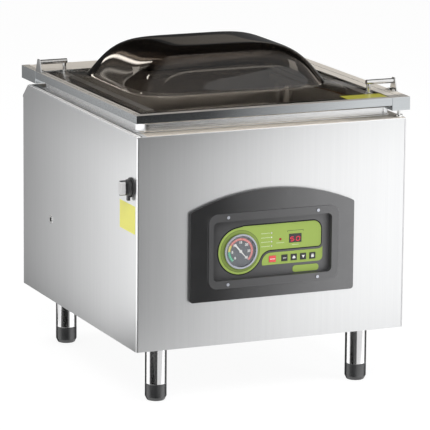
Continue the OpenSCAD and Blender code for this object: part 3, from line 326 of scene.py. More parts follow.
def deck_top(f, painted_top_light):
    """Level faces of the deck, painted grey near the left edge, with a dark band of painted shade
    and a bright, rougher curved edge with a painted highlight at that edge.
    """
    _, _, up = f.parts(f.node("ShaderNodeNewGeometry", out="Normal"))
    top = up > 0.6
    x, _, _ = f.here()
    # Painted reflection: grey instead of cream near the left edge
    painted_top_light = f.mix(x < DECK_COOL, painted_top_light, (0.66, 0.67, 0.68))
    # Painted shade: a dark band along the left edge
    painted_top_light = f.mix(x < DECK_SHADE, painted_top_light, (0.10, 0.10, 0.10))
    # Painted highlight: white on the curved edge at the very left
    painted_highlight_bend = (x < DECK_HIGHLIGHT) * top
    return top, painted_highlight_bend, f.mix(painted_highlight_bend, painted_top_light, (1.0, 1.0, 1.0))


def brushed_steel(name, grain="Z", tone=None, rough=0.24, top_finish_and_painted_light=None):
    """Sheet steel brushed along one axis; its top faces may have a coarser finish with painted
    light: a painted cream reflection, painted shade and a painted highlight.
    """
    own = bpy.context.scene.sealer_steel
    fine, broad = BRUSHING[grain]
    f = Finish(name)
    streak = f.noise(fine, 3, 0.6)
    band = f.noise(broad, 2)
    cloud = f.noise(5, 3)
    mark = streak * 0.55 + band * 0.45
    depth = 0.16 * own.grain
    colour = f.mix(mark, *shades(tone or tuple(own.tone), 1 - depth, 1 + depth))
    metal = 1.0
    if top_finish_and_painted_light:
        # The cream colour of the top faces is a painted reflection of the lights
        top, painted_highlight_bend, painted_top_light = top_finish_and_painted_light(f, f.mix(mark, (0.71, 0.66, 0.59), (0.79, 0.74, 0.67)))
        colour = f.mix(top, colour, painted_top_light)
        rough = rough + painted_highlight_bend * 0.25
        rough = rough + top * (0.46 - rough)
        metal = 1.0 - top * 0.6 - painted_highlight_bend * 0.4
    return f.surface(
        colour, rough + streak * 0.10 + cloud * 0.06, metal, f.bump(streak, 0.00002))


def grained(name, fine, broad, share, colours, rough, rise, metal, depth, **constants):
    """A finish of two noises: both mix its colours, the fine one is its roughness and relief."""
    f = Finish(name)
    grain = f.noise(*fine)
    mark = grain * share + f.noise(*broad) * (1 - share)
    return f.surface(
        f.mix(mark, *colours), rough + grain * rise, metal, f.bump(grain, depth), **constants)


def polished_steel(name, tone=(0.80, 0.80, 0.79), rough=0.07):
    """Plated or polished steel with faint smears."""
    f = Finish(name)
    smear = f.noise((70, 70, 24), 4, 0.65)
    speck = f.noise(900, 2)
    return f.surface(
        f.mix(smear, *shades(tone, 0.94, 1.04)),
        rough + smear * 0.08 + speck * 0.02, 1.0, f.bump(smear, 0.00002))


def drawn_aluminium(name):
    """Extruded bar with draw lines along its length."""
    return grained(
        name, ((1800, 9, 1800), 3, 0.6), (30, 3), 0.7,
        ((0.60, 0.60, 0.60), (0.78, 0.78, 0.77)), 0.30, 0.14, 1.0, 0.00003)


def moulded_plastic(
        name, colour=(0.022, 0.022, 0.023), grain=1500, rough=0.42, depth=0.00004, gloss=0.6):
    """Moulded plastic with a spark-eroded grain and rubbed high spots."""
    f = Finish(name)
    pit = f.noise(grain, 2, 0.55)
    rub = f.noise(60, 3)
    return f.surface(
        f.mix(pit * 0.5 + rub * 0.5, *shades(colour, 0.82, 1.2)),
        rough - 0.06 + pit * 0.10 + rub * 0.05, 0.0, f.bump(pit, depth), Specular_IOR_Level=gloss)


SWITCH_AXIS = 0.429
# Where the painted highlight on the knob's grip begins, and half its height
HIGHLIGHT_END, HIGHLIGHT_HALF = -0.2945, 0.0125


def inlaid_knob(name):
    """Gloss black moulding with a light grey painted highlight across its grip's outer end."""
    f = Finish(name)
    x, _, z = f.here()
    pit = f.noise(1500, 2, 0.55)
    # Painted highlight: light grey across the grip's outer end
    painted_highlight = (x < HIGHLIGHT_END) * (abs(z - SWITCH_AXIS) < HIGHLIGHT_HALF)
    return f.surface(
        f.mix(painted_highlight, (0.016, 0.016, 0.017), (0.62, 0.62, 0.62)),
        0.30 + pit * 0.10, 0.0, f.bump(pit, 0.00003), Specular_IOR_Level=0.9)


# The raised frame round the recess: where its corner arcs are centred, and their radius
FRAME_HALF_WIDTH, FRAME_MIDDLE, FRAME_HALF_HEIGHT, FRAME_CORNER = 0.1175, 0.298, 0.0550, 0.017944
CROWN_MIDDLE = 0.15


def satin_bezel(name):
    """Satin black coat over a crowned face, coarser on the raised frame round the recess."""
    colour = tuple(bpy.context.scene.sealer_panel.bezel)
    f = Finish(name)
    x, _, z = f.here()
    side = (abs(x) - FRAME_HALF_WIDTH).math("MAXIMUM", 0.0)
    rise = (abs(z - FRAME_MIDDLE) - FRAME_HALF_HEIGHT).math("MAXIMUM", 0.0)
    frame = (side * side + rise * rise) < FRAME_CORNER ** 2
    pit = f.noise(1900, 2)
    rub = f.noise(30, 3)
    crown = (x - CROWN_MIDDLE) * (x - CROWN_MIDDLE) * -0.60
    return f.surface(
        f.mix(rub, *shades(colour, 0.94, 1.06)),
        0.20 + pit * 0.08 + rub * 0.03 + frame * 0.24, 0.9, f.bump(crown + pit * 0.00002, 1.0))


DISC_RADIUS, DISC_LINE = 41.0, 39.8    # of the painted shade on the film behind the gauge, in millimetres
ARC_INNER, ARC_OUTER = 21.4, 25.7      # of the dial's coloured arcs, in millimetres
ARC_START = 407                        # degrees that bring the scale's far end to zero
ARCS = (
    (-1, 196, (0.74, 0.19, 0.17)), (196, 226, (0.80, 0.66, 0.08)), (226, 275, (0.05, 0.48, 0.26)))


def from_dial(f):
    """X, Z and radius from the dial's middle, in millimetres."""
    x, _, z = f.here()
    x, z = (x - DIAL.x) * 1000, (z - DIAL.z) * 1000
    return x, z, (x * x + z * z).math("SQRT")


def green_film(name):
    """Printed film with painted shade behind the gauge: a darker round patch and a dark line round
    its edge, as a dished recess would shade.
    """
    colour = tuple(bpy.context.scene.sealer_panel.overlay)
    f = Finish(name)
    _, _, radius = from_dial(f)
    tooth = f.noise(2200, 2)
    cloud = f.noise(45, 2)
    paint = f.mix(tooth * 0.4 + cloud * 0.6, *shades(colour, 0.95, 1.05))
    # Painted shade of a dished recess round the gauge: darker inside, with a darker line at its
    # edge
    dish_shade = radius < DISC_RADIUS
    paint = f.mix(dish_shade * 0.75, paint, shade(colour, 0.62))
    paint = f.mix((radius > DISC_LINE) * dish_shade * 0.8, paint, shade(colour, 0.32))
    return f.surface(paint, 0.38 + tooth * 0.12, 0.0, f.bump(tooth, 0.00001))


def printed_film(name, colour, rough):
    """Printed polyester film with a fine matt texture."""
    return grained(
        name, (2200, 2), (45, 2), 0.4, shades(colour, 0.95, 1.05), rough, 0.12, 0.0, 0.00001)


def dial_print(name):
    """Grey dial with a green, a yellow and a red arc."""
    f = Finish(name)
    x, z, radius = from_dial(f)
    turn = (z.math("ARCTAN2", x) * (180 / math.pi) + ARC_START).math("MODULO", 360)
    arc = (radius > ARC_INNER) * (radius < ARC_OUTER)
    paint = f.mix(f.noise(900, 2), (0.135, 0.145, 0.160), (0.175, 0.185, 0.205))
    for start, end, colour in ARCS:
        paint = f.mix(arc * (turn > start) * (turn < end), paint, colour)
    return f.surface(paint, 0.40 + f.noise(600) * 0.1, 0.0, f.bump(f.noise(2400), 0.000008))


def window_acrylic(name):
    """Smoked acrylic with faint wiping marks, less dark in its flat plate than in its dome."""
    own = bpy.context.scene.sealer_window
    f = Finish(name)
    wipe = f.noise((24, 90, 30), 4, 0.6)
    dust = f.noise(700, 2)
    tint = tuple(own.tint)
    _, y, z = f.here()
    plate = levelled(y, z) < PLATE_TOP
    return f.surface(
        f.mix(plate, f.mix(wipe, *shades(tint, 0.97, 1.03)), (0.88, 0.83, 0.77)),
        0.015 + wipe * 0.02 + dust * 0.01, 0.0, f.bump(f.noise(9, 1), 0.0001),
        IOR=1.49, Transmission_Weight=1.0)


def clear_lens(name):
    """Clear moulded lens with faint wiping marks."""
    f = Finish(name)
    wipe = f.noise((120, 120, 60), 3)
    return f.surface(
        f.mix(wipe, (0.97, 0.98, 0.98), (1.0, 1.0, 1.0)), 0.02 + wipe * 0.03,
        IOR=1.3, Transmission_Weight=1.0)


def rubber(name):
    """Soft rubber with a dusty, matt skin."""
    return grained(
        name, (1100, 3, 0.6), (26, 3), 0.0, shades((0.018, 0.018, 0.019), 0.8, 1.7),
        0.62, 0.15, 0.0, 0.00005, Sheen_Weight=0.15)


def filler_board(name):
    """White cutting-board plastic with a planed surface and light scratches."""
    f = Finish(name)
    plane = f.noise((18, 700, 700), 3)
    scratch = f.noise((220, 26, 60), 4, 0.7)
    return f.surface(
        f.mix(plane * 0.5 + scratch * 0.5, (0.74, 0.74, 0.72), (0.86, 0.86, 0.84)),
        0.42 + plane * 0.12, 0.0, f.bump(plane * 0.4 + scratch * 0.6, 0.00006))


def woven_tape(name):
    """Coated glass-cloth tape with its plain weave."""
    f = Finish(name)
    weave = f.waves(420, "X") * f.waves(420, "Y")
    scorch = f.noise((60, 8, 60), 3)
    return f.surface(
        f.mix(weave * 0.6 + scorch * 0.4, (0.30, 0.19, 0.10), (0.50, 0.36, 0.22)),
        0.48 + weave * 0.12, 0.0, f.bump(weave, 0.00006))


def cast_metal(name, colour, depth=0.0003):
    """Painted casting with a sandy skin."""
    return grained(
        name, (420, 4, 0.65), (14, 4, 0.6), 0.0, shades(colour, 0.78, 1.15),
        0.48, 0.18, 0.0, depth, Coat_Weight=0.2)


def turned_metal(name, colour):
    """Machined metal with fine tool lines."""
    return grained(
        name, ((1600, 120, 120), 2), (35, 3), 0.5, shades(colour, 0.85, 1.1),
        0.24, 0.12, 1.0, 0.00002)


def laminated_core(name):
    """Transformer core of stacked sheets, varnished."""
    f = Finish(name)
    sheet = f.waves(160, "Y")
    varnish = f.noise(40, 3)
    return f.surface(
        f.mix(sheet * 0.6 + varnish * 0.4, (0.10, 0.075, 0.05), (0.26, 0.22, 0.17)),
        0.40 + varnish * 0.15, 0.7, f.bump(sheet, 0.0002))


def circuit_board(name):
    """Green board with its copper tracks under the lacquer."""
    f = Finish(name)
    track = f.cells(170) < 0.22
    lane = f.waves(90, "X", 3.0) > 0.72
    weave = f.noise(1400)
    green = f.mix(weave, (0.010, 0.085, 0.035), (0.016, 0.125, 0.05))
    return f.surface(
        f.mix(lane * 0.8, f.mix(track, green, (0.55, 0.50, 0.38)), (0.03, 0.19, 0.08)),
        0.28 + weave * 0.12, 0.0, f.bump(lane, 0.00004))


def blank_label(name, colour):
    """Yellow foil label with nothing printed on it."""
    return grained(
        name, (1300, 2), (28, 3), 0.3, shades(colour, 0.93, 1.04),
        0.34, 0.12, 0.0, 0.00001, Coat_Weight=0.3)


SINGLE_LAMP_FROM = 0.010


def lamp_lens(name):
    """Lamp lenses: white in the column, red for the single lamp on the right."""
    f = Finish(name)
    x, _, _ = f.here()
    red = x > SINGLE_LAMP_FROM
    milk = f.noise(1500)
    colour = f.mix(red, f.mix(milk, (0.80, 0.82, 0.74), (0.92, 0.93, 0.86)), (0.46, 0.004, 0.008))
    return f.surface(colour, 0.16 + milk * 0.1, 0.0, f.bump(milk, 0.00002), Coat_Weight=0.5)


def display_window(name):
    """Dark red-black display cover with faint smears."""
    f = Finish(name)
    smear = f.noise(120, 3)
    return f.surface(
        f.mix(smear, (0.010, 0.006, 0.007), (0.018, 0.010, 0.011)), 0.07 + smear * 0.08,
        0.0, f.bump(smear, 0.00001), Coat_Weight=0.6)


def lit_segment(name, colour, strength):
    """A lit segment, brighter in its middle where the diode sits."""
    f = Finish(name)
    glow = f.noise(700, 1)
    lit = f.mix(glow, shade(colour, 0.8), colour)
    return f.surface(
        f.mix(glow, shade(colour, 0.5), shade(colour, 0.7)), 0.3 + glow * 0.1, 0.0,
        Emission_Color=lit, Emission_Strength=strength)


FINISHES = {
    "stainless_sheet": lambda name: brushed_steel(name, "Z"),
    "deck_sheet": lambda name: brushed_steel(name, "X", None, 0.20, deck_top),
    "lid_sheet": lambda name: brushed_steel(name, "X", (0.56, 0.585, 0.60), 0.06, lid_top),
    "tub_sheet": lambda name: brushed_steel(name, "Y"),
    "polished_steel": polished_steel,
    "leg_chrome": lambda name: brushed_steel(name, "Z", (0.78, 0.78, 0.785), 0.05),
    "gauge_chrome": lambda name: polished_steel(name, (0.50, 0.52, 0.57), 0.10),
    "bracket_chrome": lambda name: polished_steel(name, (0.60, 0.60, 0.595), 0.03),
    "aluminium": drawn_aluminium,
    "seal_tape": woven_tape,
    "white_board": filler_board,
    "black_plastic": moulded_plastic,
    "foot_plastic": lambda name: moulded_plastic(
        name, (0.020, 0.021, 0.022), 1100, 0.28, 0.00003, 1.0),
    "bezel_plastic": satin_bezel,
    "inlaid_knob": inlaid_knob,
    "black_film": lambda name: printed_film(name, (0.002, 0.002, 0.003), 0.62),
    "green_overlay": green_film,
    "red_key": lambda name: moulded_plastic(
        name, tuple(bpy.context.scene.sealer_panel.stop), 1800, 0.34, 0.00001),
    "display_glass": display_window,
    "lamp_plastic": lamp_lens,
    "lamp_red": lambda name: printed_film(name, (0.30, 0.004, 0.008), 0.3),
    "board": circuit_board,
    "dial_paint": dial_print,
    "needle_white": lambda name: printed_film(name, (0.86, 0.86, 0.84), 0.3),
    "light_print": lambda name: printed_film(name, (0.64, 0.74, 0.46), 0.4),
    "dark_print": lambda name: printed_film(name, (0.05, 0.09, 0.03), 0.4),
    "white_print": lambda name: printed_film(name, (0.84, 0.84, 0.82), 0.4),
    "clear_lens": clear_lens,
    "yellow_label": lambda name: blank_label(name, (1.0, 0.93, 0.13)),
    "lid_yellow": lambda name: blank_label(name, (0.40, 0.375, 0.004)),
    "smoked_acrylic": window_acrylic,
    "gasket_rubber": rubber,
    "pump_casting": lambda name: cast_metal(name, (0.11, 0.115, 0.12)),
    "motor_paint": lambda name: cast_metal(name, (0.10, 0.17, 0.26), 0.0001),
    "rotor_steel": lambda name: turned_metal(name, (0.55, 0.55, 0.54)),
    "filter_paint": lambda name: cast_metal(name, (0.55, 0.55, 0.53), 0.00008),
    "valve_brass": lambda name: turned_metal(name, (0.72, 0.50, 0.22)),
    "transformer_steel": laminated_core,
    "red_digit": lambda name: lit_segment(name, (0.80, 0.020, 0.055), 0.62),
}


def finish(name):
    """The material of that name, built the first time it is asked for."""
    made = bpy.data.materials.get("sealer_" + name)
    return made or FINISHES[name]("sealer_" + name)


# ---- Shapes ----

def add_piece(name, mesh, look, body, stands_for=()):
    """Put a mesh into the scene as a finished piece that rides on a body."""
    mesh.materials.clear()
    mesh.materials.append(finish(look))
    for face in mesh.polygons:
        face.material_index = 0
    piece = bpy.data.objects.new(name, mesh)
    bpy.context.scene.collection.objects.link(piece)
    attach(piece, body)
    if stands_for:
        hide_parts(*stands_for)
    return piece


def evaluated(holder):
    """The plain mesh that an object's modifiers make; the object is removed."""
    graph = bpy.context.evaluated_depsgraph_get()
    mesh = bpy.data.meshes.new_from_object(holder.evaluated_get(graph), depsgraph=graph)
    old = holder.data
    holder.modifiers.clear()
    bpy.data.objects.remove(holder)
    if isinstance(old, bpy.types.Mesh):
        bpy.data.meshes.remove(old)
    return mesh


def soften(mesh, angle=SHARP):
    mesh.shade_smooth()
    mesh.set_sharp_from_angle(angle=angle)


def holder_of(mesh):
    """An object that holds a mesh while its modifiers work on it."""
    holder = bpy.data.objects.new(mesh.name + "_holder", mesh)
    bpy.context.scene.collection.objects.link(holder)
    return holder


def flattened(mesh):
    """Smooth shading that keeps each broad face flat up to its softened edges."""
    soften(mesh)
    holder = holder_of(mesh)
    weight = holder.modifiers.new("Flat faces", "WEIGHTED_NORMAL")
    weight.mode, weight.weight, weight.thresh = "FACE_AREA", 100, 0.01
    weight.keep_sharp = True
    return evaluated(holder)


def closed(form, name):
    """The mesh of a bmesh, which is freed."""
    mesh = bpy.data.meshes.new(name)
    form.to_mesh(mesh)
    form.free()
    return mesh


def gathered(meshes):
    """One bmesh of several meshes."""
    form = bmesh.new()
    for mesh in meshes:
        form.from_mesh(mesh)
    return form


def node_body(node):
    """The body that a CAD node rides on."""
    holder = frame["nodes"][node].parent
    return next(name for name, empty in frame["bodies"].items() if empty is holder)


def dress(node, edge, segments, look=None):
    """A copy of a CAD node with softened edges and its own finish stands for the node."""
    source = frame["nodes"][node]
    slot = source.data.materials[0].name
    form = gathered([source.data])
    bmesh.ops.remove_doubles(form, verts=form.verts, dist=WELD)
    bmesh.ops.dissolve_limit(
        form, angle_limit=math.radians(0.2), verts=form.verts, edges=form.edges)
    mesh = closed(form, node + "_dressed")
    if edge:
        holder = holder_of(mesh)
        bevel = holder.modifiers.new("Soft edge", "BEVEL")
        bevel.width, bevel.segments = edge, segments
        bevel.limit_method, bevel.angle_limit = "ANGLE", SHARP
        bevel.use_clamp_overlap = True
        mesh = evaluated(holder)
    done = flattened(mesh)
    done.name = node + "_dressed"
    return add_piece(node + "_dressed", done, look or slot, node_body(node), (node,))


def dress_all(rows):
    """Rows of node, edge width in millimetres, segments and, where it isn't the node's, finish."""
    for node, edge, *rest in rows:
        dress(node, edge * MM, *rest)


def plates(name, outlines, front, look, body):
    """Thin flat plates that face the front: outlines of (x, z) in millimetres."""
    form = bmesh.new()
    for outline in outlines:
        corners = [form.verts.new((x * MM, front * MM, z * MM)) for x, z in outline]
        face = form.faces.new(corners)
        back = bmesh.ops.extrude_face_region(form, geom=[face])["geom"]
        moved = [v for v in back if isinstance(v, bmesh.types.BMVert)]
        bmesh.ops.translate(form, verts=moved, vec=(0, INK * MM, 0))
    bmesh.ops.recalc_face_normals(form, faces=form.faces)
    return add_piece(name, closed(form, name), look, body)


def bar(x, z, w, h):
    return [(x - w / 2, z - h / 2), (x + w / 2, z - h / 2), (x + w / 2, z + h / 2),
            (x - w / 2, z + h / 2)]


# ---- Geometry Nodes ----

class Pattern(Tree):
    """Builds a Geometry Nodes tree with named inputs."""

    KINDS = {float: "NodeSocketFloat", int: "NodeSocketInt", Vector: "NodeSocketVector"}

    def __init__(self, name, **inputs):
        super().__init__(bpy.data.node_groups.new(name, "GeometryNodeTree"))
        face = self.tree.interface
        for label, value in inputs.items():
            socket = face.new_socket(
                label.replace("_", " "), in_out="INPUT", socket_type=self.KINDS[type(value)])
            socket.default_value = value
        face.new_socket("Finish", in_out="INPUT", socket_type="NodeSocketMaterial")
        face.new_socket("Geometry", in_out="OUTPUT", socket_type="NodeSocketGeometry")
        self.group = self.node("NodeGroupInput").socket.node

    def input(self, label):
        return Value(self, self.group.outputs[label])

    def close(self, geometry):
        """Instances made real, with the finish set, to the tree's output."""
        real = self.node("GeometryNodeRealizeInstances", None, {0: geometry})
        done = self.node("GeometryNodeSetMaterial", None, {
            "Geometry": real, "Material": self.input("Finish")})
        self.node("NodeGroupOutput", None, {0: done})
        return self.tree


def grow(name, tree, look, values):
    """The plain mesh that a tree makes with these inputs."""
    holder = holder_of(bpy.data.meshes.new(name + "_empty"))
    modifier = holder.modifiers.new("Pattern", "NODES")
    modifier.node_group = tree
    values = {**values, "Finish": finish(look)}
    for item in tree.interface.items_tree:
        if item.in_out == "INPUT" and item.name in values:
            modifier[item.identifier] = values[item.name]
    mesh = evaluated(holder)
    mesh.name = name
    return mesh


def skin_tree():
    """One skin of the window: a dome on a plate, or the plate's edge, by rule."""
    p = Pattern(
        "Window skin", Half_width=0.2, Half_depth=0.18, Height=0.08, Level=0.56, Middle=Vector(),
        Corner=7.0, Shoulder=4.6, Foot=1.2, Plate_half_width=0.28, Plate_half_depth=0.3,
        Plate_middle=0.0, Sides=256, Rings=44)
    sides, rings = p.input("Sides"), p.input("Rings")
    grid = p.node("GeometryNodeMeshGrid", None, {
        "Size X": 1.0, "Size Y": 1.0, "Vertices X": sides + 1, "Vertices Y": rings + 2})
    u, v, _ = p.parts(p.node("GeometryNodeInputPosition"))
    turn = (u + 0.5) * (2 * math.pi)
    across, along = turn.math("COSINE"), turn.math("SINE")
    step = (v + 0.5) * (rings + 1) / rings
    inner = step.math("MINIMUM", 1.0)
    share = 1 - (1 - inner) ** 1.5
    corner = p.input("Corner")
    size = (abs(across) ** corner + abs(along) ** corner) ** (1 / corner)
    x, y, _ = p.parts(p.input("Middle"))
    rise = p.input("Height") * (1 - share ** p.input("Shoulder")).math(
        "MAXIMUM", 0.0) ** p.input("Foot")
    dome = p.vector(
        x + share * p.input("Half width") * across / size,
        y + share * p.input("Half depth") * along / size, p.input("Level") + rise)
    square = abs(across).math("MAXIMUM", abs(along))
    plate = p.vector(
        p.input("Plate half width") * across / square,
        p.input("Plate middle") + p.input("Plate half depth") * along / square,
        p.input("Level"))
    place = p.node("ShaderNodeMix", {"data_type": "VECTOR"}, {
        0: step > 1.0001, 4: dome, 5: plate}, out=1)
    moved = p.node("GeometryNodeSetPosition", None, {"Geometry": grid, "Position": place})
    joined = p.node("GeometryNodeMergeByDistance", None, {0: moved, "Distance": 0.000001})
    return p.close(joined)


def bars_on(p, line, offset, start, sides, **instance):
    """Flat bars on a line's points, each moved by its offset; start and sides name inputs."""
    place = p.node("ShaderNodeVectorMath", {"operation": "ADD"}, {0: p.input(start), 1: offset})
    points = p.node("GeometryNodeSetPosition", None, {"Geometry": line, "Position": place})
    size = p.vector(*[p.input(side) for side in sides])
    cube = p.node("GeometryNodeMeshCube", None, {"Size": size})
    return p.close(p.node("GeometryNodeInstanceOnPoints", None, {
        "Points": points, "Instance": cube, **instance}))


def ring_tree():
    """Bars on an arc that faces the front, with every fifth bar longer."""
    p = Pattern(
        "Tick ring", Centre=Vector(), Radius=0.02, Count=61, First=0.0, Sweep=4.7, Length=0.002,
        Width=0.0003, Thickness=0.0001)
    count = p.input("Count")
    line = p.node("GeometryNodeMeshLine", None, {"Count": count})
    index = p.node("GeometryNodeInputIndex")
    turn = p.input("First") - index / (count - 1) * p.input("Sweep")
    offset = p.vector(
        p.input("Radius") * turn.math("COSINE"), 0.0, p.input("Radius") * turn.math("SINE"))
    long = 1 + 0.9 * (index.math("MODULO", 5) < 0.5)
    return bars_on(
        p, line, offset, "Centre", ("Length", "Thickness", "Width"),
        Rotation=p.vector(0.0, -1 * turn, 0.0), Scale=p.vector(long, 1.0, 1.0))


def grid_tree():
    """Small flat bars in rows and columns that face the front, as blank print does."""
    p = Pattern(
        "Print rows", Corner=Vector(), Columns=6, Rows=4, Pitch=0.0021, Drop=0.0085,
        Width=0.0015, Height=0.0013, Thickness=0.00012)
    columns = p.input("Columns")
    line = p.node("GeometryNodeMeshLine", None, {"Count": columns * p.input("Rows")})
    index = p.node("GeometryNodeInputIndex")
    row = (index / columns).math("FLOOR")
    column = index - row * columns
    offset = p.vector(-1 * column * p.input("Pitch"), 0.0, -1 * row * p.input("Drop"))
    return bars_on(p, line, offset, "Corner", ("Width", "Thickness", "Height"))


def screw_tree():
    """A row of cross-recessed screw heads that face the rear."""
    p = Pattern(
        "Screw row", First=Vector(), Step=Vector((0, 0, 0.1)), Count=4, Radius=0.004,
        Height=0.0018)
    line = p.node("GeometryNodeMeshLine", None, {
        "Count": p.input("Count"), "Start Location": p.input("First"),
        "Offset": p.input("Step")})
    radius, height = p.input("Radius"), p.input("Height")
    head = p.node("GeometryNodeMeshCylinder", None, {
        "Vertices": 28, "Radius": radius, "Depth": height})
    dome = p.node("GeometryNodeMeshCone", None, {
        "Vertices": 28, "Radius Top": radius * 0.72, "Radius Bottom": radius,
        "Depth": height * 0.35})
    dome = p.node("GeometryNodeTransform", None, {
        "Geometry": dome, "Translation": p.vector(0.0, 0.0, height * 0.5)})
    slots = [p.node("GeometryNodeMeshCube", None, {"Size": p.vector(*size)}) for size in (
        (radius * 1.1, radius * 0.24, height), (radius * 0.24, radius * 1.1, height))]
    cross = p.node("GeometryNodeTransform", None, {
        "Geometry": p.node("GeometryNodeJoinGeometry", None, {0: slots}),
        "Translation": p.vector(0.0, 0.0, height * 0.85)})
    whole = p.node("GeometryNodeMeshBoolean", {"operation": "UNION"}, {1: [head, dome]})
    cut = p.node("GeometryNodeMeshBoolean", {"operation": "DIFFERENCE"}, {0: whole, 1: [cross]})
    heads = p.node("GeometryNodeInstanceOnPoints", None, {
        "Points": line, "Instance": cut, "Rotation": (-math.pi / 2, 0.0, 0.0)})
    return p.close(heads)


# ---- Pieces ----

class SEALER_OT_cabinet(bpy.types.Operator):
    """Dress the folded panels, the deck, the labels and the fittings of the cabinet"""
    bl_idname = "sealer.cabinet"
    bl_label = "Cabinet"
    sheets = (
        ("left_side_panel", 1.0, "stainless_sheet"), ("right_side_panel", 1.0, "stainless_sheet"),
        ("front_panel", 0.6, "stainless_sheet"), ("rear_panel", 0.6, "stainless_sheet"),
        ("base_plate", 0.6, "deck_sheet"), ("top_deck", 0.8, "deck_sheet"),
    )
    fittings = (
        ("side_grommet", 0.25, 2), ("side_label", 0.08, 1), ("cable_gland", 0.5, 2),
        ("plunger_base", 0.5, 2), ("lid_plunger", 0.6, 3), ("hinge_lugs", 0.4, 2),
    )
    screw_columns = -266.0 * MM, 266.0 * MM
    screw_face, screw_foot, screw_step = 0.3074, 0.150, 0.104

    def execute(self, context):
        edge = context.scene.sealer_steel.edge / MM
        dress_all((node, edge * share, 2, look) for node, share, look in self.sheets)
        dress_all(self.fittings)
        tree = screw_tree()
        columns = [grow("rear_screws", tree, "polished_steel", {
            "First": (x, self.screw_face, self.screw_foot), "Step": (0, 0, self.screw_step),
            "Count": 4, "Radius": 0.0042, "Height": 0.002}) for x in self.screw_columns]
        done = closed(gathered(columns), "rear_screws")
        soften(done)
        add_piece("rear_screws", done, "polished_steel", "cabinet")
        return {"FINISHED"}


class SEALER_OT_legs(bpy.types.Operator):
    """Dress the tubular legs and their plastic feet"""
    bl_idname = "sealer.legs"
    bl_label = "Legs"
    rows = [("leg_tubes", 0.5, 2, "leg_chrome")] + [
        ("foot_%s_%s" % (y, x), 1.2, 3, "foot_plastic")
        for y in ("front", "rear") for x in ("left", "right")]

    def execute(self, context):
        dress_all(self.rows)
        return {"FINISHED"}


class SEALER_OT_chamber(bpy.types.Operator):
    """Dress the chamber, its rim, the seal bars and the filler plate"""
    bl_idname = "sealer.chamber"
    bl_label = "Chamber"
    rows = (
        ("chamber_tub", 0.5, 2, "tub_sheet"), ("chamber_rim", 1.8, 4, "deck_sheet"),
        ("lift_posts", 0.5, 2), ("seal_bar_left", 1.0, 3), ("seal_bar_right", 1.0, 3),
        ("seal_tape_left", 0.25, 2), ("seal_tape_right", 0.25, 2), ("filler_plate", 1.6, 3),
    )

    def execute(self, context):
        dress_all(self.rows)
        return {"FINISHED"}


class SEALER_OT_lid(bpy.types.Operator):
    """Make the domed window by its rule, and dress the frame and the fittings of the lid"""
    bl_idname = "sealer.lid"
    bl_label = "Lid"
    rows = (
        ("lid_rails", 0.45, 2, "lid_sheet"), ("corner_blocks", 0.7, 2, "lid_sheet"),
        ("lid_gasket", 1.0, 2), ("counter_bars", 0.8, 2),
        ("lid_brackets", 0.5, 2, "bracket_chrome"), ("lid_label", 0.08, 1, "lid_yellow"),
        ("hinge_knuckles", 0.4, 2),
    )
    upper, lower = 0.5648, 0.5528    # levels of the plate's two faces
    plate_half_width, plate_half_depth, plate_middle = 0.282, 0.3036, -0.0079
    dome_middle = (0.0055, 0.0365, 0)

    def execute(self, context):
        dress_all(self.rows)
        own = context.scene.sealer_window
        tree = skin_tree()
        common = {
            "Corner": own.corner, "Shoulder": own.shoulder, "Foot": own.foot,
            "Middle": self.dome_middle, "Plate half width": self.plate_half_width,
            "Plate half depth": self.plate_half_depth, "Plate middle": self.plate_middle,
            "Sides": own.sides, "Rings": own.rings}
        plate = self.upper - self.lower
        skins = [grow("window_skin", tree, "smoked_acrylic", {**common, **size}) for size in (
            {"Half width": own.half_width, "Half depth": own.half_depth,
             "Height": own.height, "Level": self.upper},
            {"Half width": own.half_width - own.wall, "Half depth": own.half_depth - own.wall,
             "Height": own.height + plate - own.wall, "Level": self.lower})]
        form = gathered(skins)
        bmesh.ops.remove_doubles(form, verts=form.verts, dist=WELD)
        rims = [e for e in form.edges if e.is_boundary]
        bmesh.ops.bridge_loops(form, edges=rims)
        bmesh.ops.recalc_face_normals(form, faces=form.faces)
        form.transform(ON_HINGE)
        mesh = closed(form, "window")
        soften(mesh, math.radians(40))
        add_piece("window", mesh, "smoked_acrylic", "lid", ("lid_window",))
        return {"FINISHED"}


SEGMENTS = {
    "0": "abcdef", "1": "bc", "2": "abged", "3": "abgcd", "4": "fgbc", "5": "afgcd",
    "6": "afgedc", "7": "abc", "8": "abcdefg", "9": "abcdfg",
}


def digit(character, x, z, w=8.4, h=9.2, t=1.6):
    """The lit segments of one digit, leaning a little to the right."""
    half = (h - t) / 2
    side = (w - t) / 2
    places = {
        "a": (0, half, 1), "d": (0, -half, 1), "g": (0, 0, 1),
        "f": (-side, half / 2, 0), "b": (side, half / 2, 0),
        "e": (-side, -half / 2, 0), "c": (side, -half / 2, 0)}
    outlines = []
    for key in SEGMENTS[character]:
        cx, cz, flat = places[key]
        sx, sz = (w - 2.2 * t, t) if flat else (t, half - 0.35 * t)
        outlines.append([(x + px + 0.12 * (pz - z), pz)
                         for px, pz in bar(cx, z + cz, sx, sz)])
    return outlines


def circle(x, z, radius, sides=24):
    turns = (2 * math.pi * i / sides for i in range(sides))
    return [(x + radius * math.cos(a), z + radius * math.sin(a)) for a in turns]


